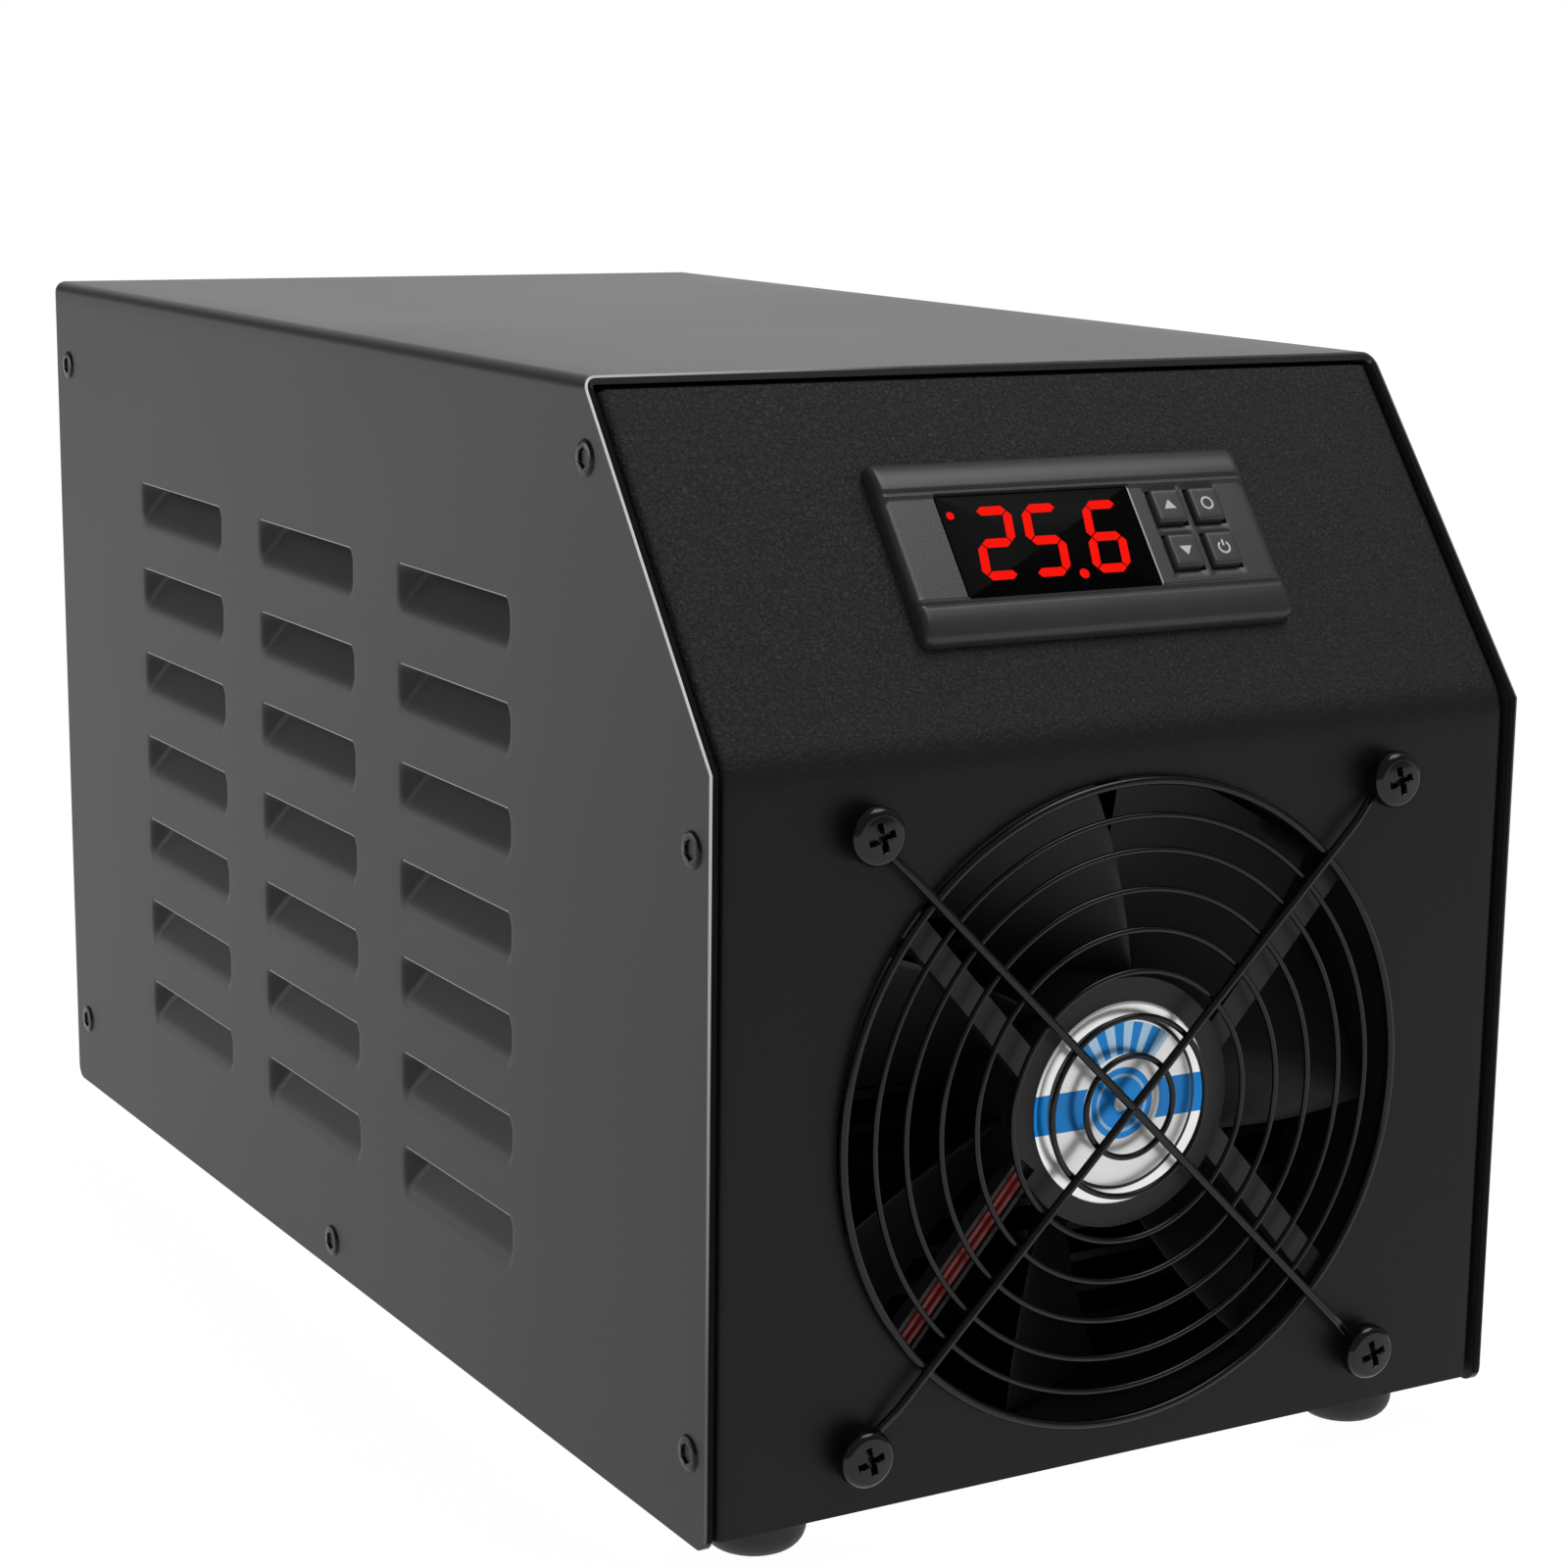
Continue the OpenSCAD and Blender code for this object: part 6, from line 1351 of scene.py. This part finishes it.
class CHILLER_OT_rear(bpy.types.Operator):
    """Gives the rear panel and what it carries soft edges and finishes"""
    bl_idname = "chiller.rear"
    bl_label = "Rear panel"

    def execute(self, context):
        look = context.scene.chiller_finishes
        coat = powder_coat("Rear coat", tuple(look.panel), 0.5, 0.05)
        black = moulded("Inlet plastic", (0.016, 0.016, 0.017), 0.38, 0.012, 0.12)
        fitting = moulded("Fitting plastic", (0.020, 0.020, 0.022), 0.34, 0.014, 0.14)
        rocker = moulded("Rocker plastic", (0.020, 0.020, 0.021), 0.22, 0.006, 0.1, coat=0.3)
        rubber_foot = rubber("Foot rubber", (0.020, 0.020, 0.021))
        for node, name, width, body, finish, slot in (
                ("rear_panel", "rear_sheet", 0.3, "cabinet", coat, "panel_paint"),
                ("inlet_housing", "inlet_body", 0.35, "cabinet", black, "dark_plastic"),
                ("rocker_switch", "rocker_key", 0.4, "rocker", rocker, "button_plastic"),
                ("fuse_drawer", "fuse_tray", 0.25, "drawer", black, "dark_plastic"),
                ("hose_barbs", "hose_fittings", 0.3, "cabinet", fitting, "dark_plastic"),
                ("feet", "rubber_feet", 0.4, "cabinet", rubber_foot, "rubber")):
            softened(node, name, width, finish, body)
        return {"FINISHED"}


class CHILLER_OT_finishes(bpy.types.Operator):
    """Gives every part that keeps its CAD shape its own finish"""
    bl_idname = "chiller.finishes"
    bl_label = "Inner finishes"

    def execute(self, context):
        zinc = brushed("Zinc plate", (0.60, 0.61, 0.60), 0.34, (3, 3, 3), scale=300.0)
        sheet = galvanised("Galvanised sheet", (0.56, 0.575, 0.58))
        shelf = galvanised("Shelf sheet", (0.60, 0.61, 0.615))
        case = brushed("Supply sheet", (0.66, 0.67, 0.68), 0.36, (1, 12, 12))
        dark = moulded("Dark plastic", (0.024, 0.024, 0.026), 0.42, 0.012, 0.12)
        board = circuit_board("Circuit board")
        red = insulation("Red insulation", (0.17, 0.005, 0.004))
        black = insulation("Black insulation", (0.018, 0.018, 0.019))
        seal = rubber("Seal rubber", (0.018, 0.018, 0.019))
        for nodes, finish in (
                (("panel_rivets", "foot_screws", "foot_nuts", "fan_nuts", "sink_brackets", "sink_screws",
                  "shelf_screws", "hose_clamps"), zinc),
                (("base_tray",), sheet),
                (("psu_shelf",), shelf),
                (("psu_case", "psu_cover"), case),
                (("controller_case", "controller_clips", "controller_terminals", "display_module",
                  "psu_terminals", "barb_nuts"), dark),
                (("controller_board", "psu_board", "fan_board"), board),
                (("fan_lead", "module_leads"), red),
                (("mains_leads",), black),
                (("barb_seals", "temperature_probe"), seal),
                (("heat_sink",),
                 brushed("Black anodised fins", (0.030, 0.031, 0.033), 0.42, (0.6, 14, 14), 0.5)),
                (("cold_block",), brushed("Milled aluminium", (0.66, 0.67, 0.69), 0.24, (14, 14, 0.8))),
                (("fan_bearings", "fan_shaft"),
                 brushed("Ground steel", (0.64, 0.65, 0.67), 0.18, (12, 1, 12))),
                (("fan_magnet",), brushed("Dull magnet", (0.12, 0.12, 0.125), 0.5, (2, 2, 2), 0.6)),
                (("fan_windings",), wound_copper("Wound copper")),
                (("insulation_foam",), closed_foam("Sheet foam")),
                (("peltier_modules",), fired_ceramic("White ceramic")),
                (("water_tubes",), clear_hose("Clear hose")),
                (("fuse",), glass_fuse("Glass fuse")),
                (("inlet_pins",), brushed("Plated pins", (0.68, 0.67, 0.62), 0.22, (12, 1, 12))),
                (("inlet_screws",),
                 moulded("Blackened screws", (0.015, 0.015, 0.016), 0.35, 0.006, 0.15))):
            for node in nodes:
                show(node, finish)
        return {"FINISHED"}


# Stage

def pale_floor(scene):
    """A plain floor that keeps the object's shadow and looks white to the camera and in gloss."""
    half, seen_share = 6.0, 0.86
    mesh = bpy.data.meshes.new("floor")
    mesh.from_pydata([(-half, -half, 0), (half, -half, 0), (half, half, 0), (-half, half, 0)], [],
                     [(0, 1, 2, 3)])
    obj = bpy.data.objects.new("floor", mesh)
    scene.collection.objects.link(obj)
    s = Shader("Pale floor")
    paper = s.noise(s.place(), 3.0, 2.0, 0.5)
    s.set(colour=s.mixed(paper, (0.80, 0.80, 0.80), (0.82, 0.82, 0.82)), rough=0.9)
    glow = s.node("ShaderNodeEmission", None, {"Color": (1.0, 1.0, 1.0), "Strength": 1.13})
    rays = s.node("ShaderNodeLightPath")
    share = (Value(s, rays.outputs["Is Camera Ray"]) + Value(s, rays.outputs["Is Glossy Ray"])
             + Value(s, rays.outputs["Is Transmission Ray"])).clamped() * seen_share
    blend = s.node("ShaderNodeMixShader", None, [share, s.surface.outputs[0], glow.outputs[0]])
    s.tree.links.new(blend.outputs[0], s.tree.nodes["Material Output"].inputs["Surface"])
    mesh.materials.append(s.material)


def studio_world(scene):
    """White where the camera looks, straight or through glass, and a soft grey light otherwise."""
    world = bpy.data.worlds.new("Studio")
    scene.world = world
    world.use_nodes = True
    nodes, links = world.node_tree.nodes, world.node_tree.links
    soft, plain = nodes["Background"], nodes.new("ShaderNodeBackground")
    for back, strength in ((soft, 0.24), (plain, 1.0)):
        back.inputs["Color"].default_value = (1, 1, 1, 1)
        back.inputs["Strength"].default_value = strength
    seen = nodes.new("ShaderNodeLightPath")
    mix = nodes.new("ShaderNodeMixShader")
    either = nodes.new("ShaderNodeMath")
    either.operation, either.use_clamp = "ADD", True
    links.new(seen.outputs["Is Camera Ray"], either.inputs[0])
    links.new(seen.outputs["Is Transmission Ray"], either.inputs[1])
    for number, source in enumerate((either, soft, plain)):
        links.new(source.outputs[0], mix.inputs[number])
    links.new(mix.outputs[0], nodes["World Output"].inputs["Surface"])


# Each light's name, its place and the place it shines at in metres, its width and height, its watts
LIGHTS = (("Side light", (-1.5, 1.3, 0.2), (0, 0, 0.07), (1.2, 0.3), 4.5),
          ("Rear light", (1.3, 2.3, 0.75), (0, 0.02, 0.19), (3.4, 1.4), 15),
          ("Slope light", (0.5, -0.45, 1.7), (0, -0.12, 0.15), (1.0, 1.0), 12))

# The photograph's viewpoint, fitted to measured corners: degrees to the side, up and of roll, the
# point looked at with the distance from it in millimetres, and how far the eye is moved aside and down
VIEW_SIDE, VIEW_UP, VIEW_ROLL = -31.004, 11.95, 0.98
VIEW_POINT, VIEW_DISTANCE, VIEW_ASIDE, VIEW_DOWN = (0, -9.5, 98), 718.816, 35.943, 5.175


def area_light(scene, name, at, to, size, watts):
    lamp = bpy.data.lights.new(name, "AREA")
    lamp.shape, lamp.size, lamp.size_y, lamp.energy = "RECTANGLE", size[0], size[1], watts
    holder = bpy.data.objects.new(name, lamp)
    holder.visible_camera = False
    scene.collection.objects.link(holder)
    back = np.array(at, float) - np.array(to, float)
    holder.matrix_world = facing(at, back / np.linalg.norm(back), 0.0)


def photo_camera(scene):
    """The camera that took the photograph, with its lens and the shift of its frame."""
    side, up, roll = radians(VIEW_SIDE), radians(VIEW_UP), radians(VIEW_ROLL)
    back = np.array([sin(side) * cos(up), -cos(side) * cos(up), sin(up)])
    turn = facing((0, 0, 0), back, roll)
    aside, above = np.array(turn.col[0][:3]), np.array(turn.col[1][:3])
    eye = np.array(VIEW_POINT) + back * VIEW_DISTANCE + aside * VIEW_ASIDE - above * VIEW_DOWN
    data = bpy.data.cameras.new("Camera")
    data.sensor_width, data.lens = 36.0, 79.88
    data.shift_x, data.shift_y = -0.0547, 0.0219
    data.clip_start, data.clip_end = 0.01, 50
    camera = bpy.data.objects.new("Camera", data)
    scene.collection.objects.link(camera)
    camera.matrix_world = facing(tuple(eye / 1000), back, roll)
    scene.camera = camera


class CHILLER_OT_stage(bpy.types.Operator):
    """Sets the pale floor, the soft lights and the camera"""
    bl_idname = "chiller.stage"
    bl_label = "Stage"

    def execute(self, context):
        scene = context.scene
        scene.view_settings.view_transform = "Standard"
        pale_floor(scene)
        studio_world(scene)
        for light in LIGHTS:
            area_light(scene, *light)
        photo_camera(scene)
        return {"FINISHED"}


def facing(at, back, roll):
    """The matrix of a camera or lamp at a place that looks against back, rolled to the left."""
    right = np.cross(-back, (0.0, 0.0, 1.0))
    right /= np.linalg.norm(right)
    up = np.cross(right, -back)
    r, u = right * cos(roll) + up * sin(roll), -right * sin(roll) + up * cos(roll)
    return Matrix([[r[i], u[i], back[i], at[i]] for i in range(3)] + [[0, 0, 0, 1]])


class CHILLER_PT_panel(bpy.types.Panel):
    """Lists the sizes and the pieces in the sidebar"""
    bl_idname = "CHILLER_PT_panel"
    bl_label = "Aquarium Chiller"
    bl_space_type = "VIEW_3D"
    bl_region_type = "UI"
    bl_category = "Chiller"

    def draw(self, context):
        for name, group in GROUPS.items():
            box = self.layout.box()
            for key in group.__annotations__:
                box.prop(getattr(context.scene, name), key)
        for step in STEPS:
            self.layout.operator(step.bl_idname)


GROUPS = {"chiller_cabinet": CabinetSizes, "chiller_louvres": LouvreSizes, "chiller_fan": FanSizes,
          "chiller_controller": ControllerSizes, "chiller_finishes": Finishes}
STEPS = (CHILLER_OT_stage, CHILLER_OT_cover, CHILLER_OT_front_panel, CHILLER_OT_guard, CHILLER_OT_fan,
         CHILLER_OT_controller, CHILLER_OT_fasteners, CHILLER_OT_rear, CHILLER_OT_finishes)


def register():
    for kind in (*GROUPS.values(), *STEPS, CHILLER_PT_panel):
        bpy.utils.register_class(kind)
    for name, group in GROUPS.items():
        setattr(bpy.types.Scene, name, bpy.props.PointerProperty(type=group))


def unregister():
    for name in GROUPS:
        delattr(bpy.types.Scene, name)
    for kind in reversed((*GROUPS.values(), *STEPS, CHILLER_PT_panel)):
        bpy.utils.unregister_class(kind)


def main():
    register()
    for step in STEPS:
        group, call = step.bl_idname.split(".")
        if getattr(getattr(bpy.ops, group), call)() != {"FINISHED"}:
            raise RuntimeError(step.bl_label + " wasn't finished")


if __name__ == "__main__":
    main()
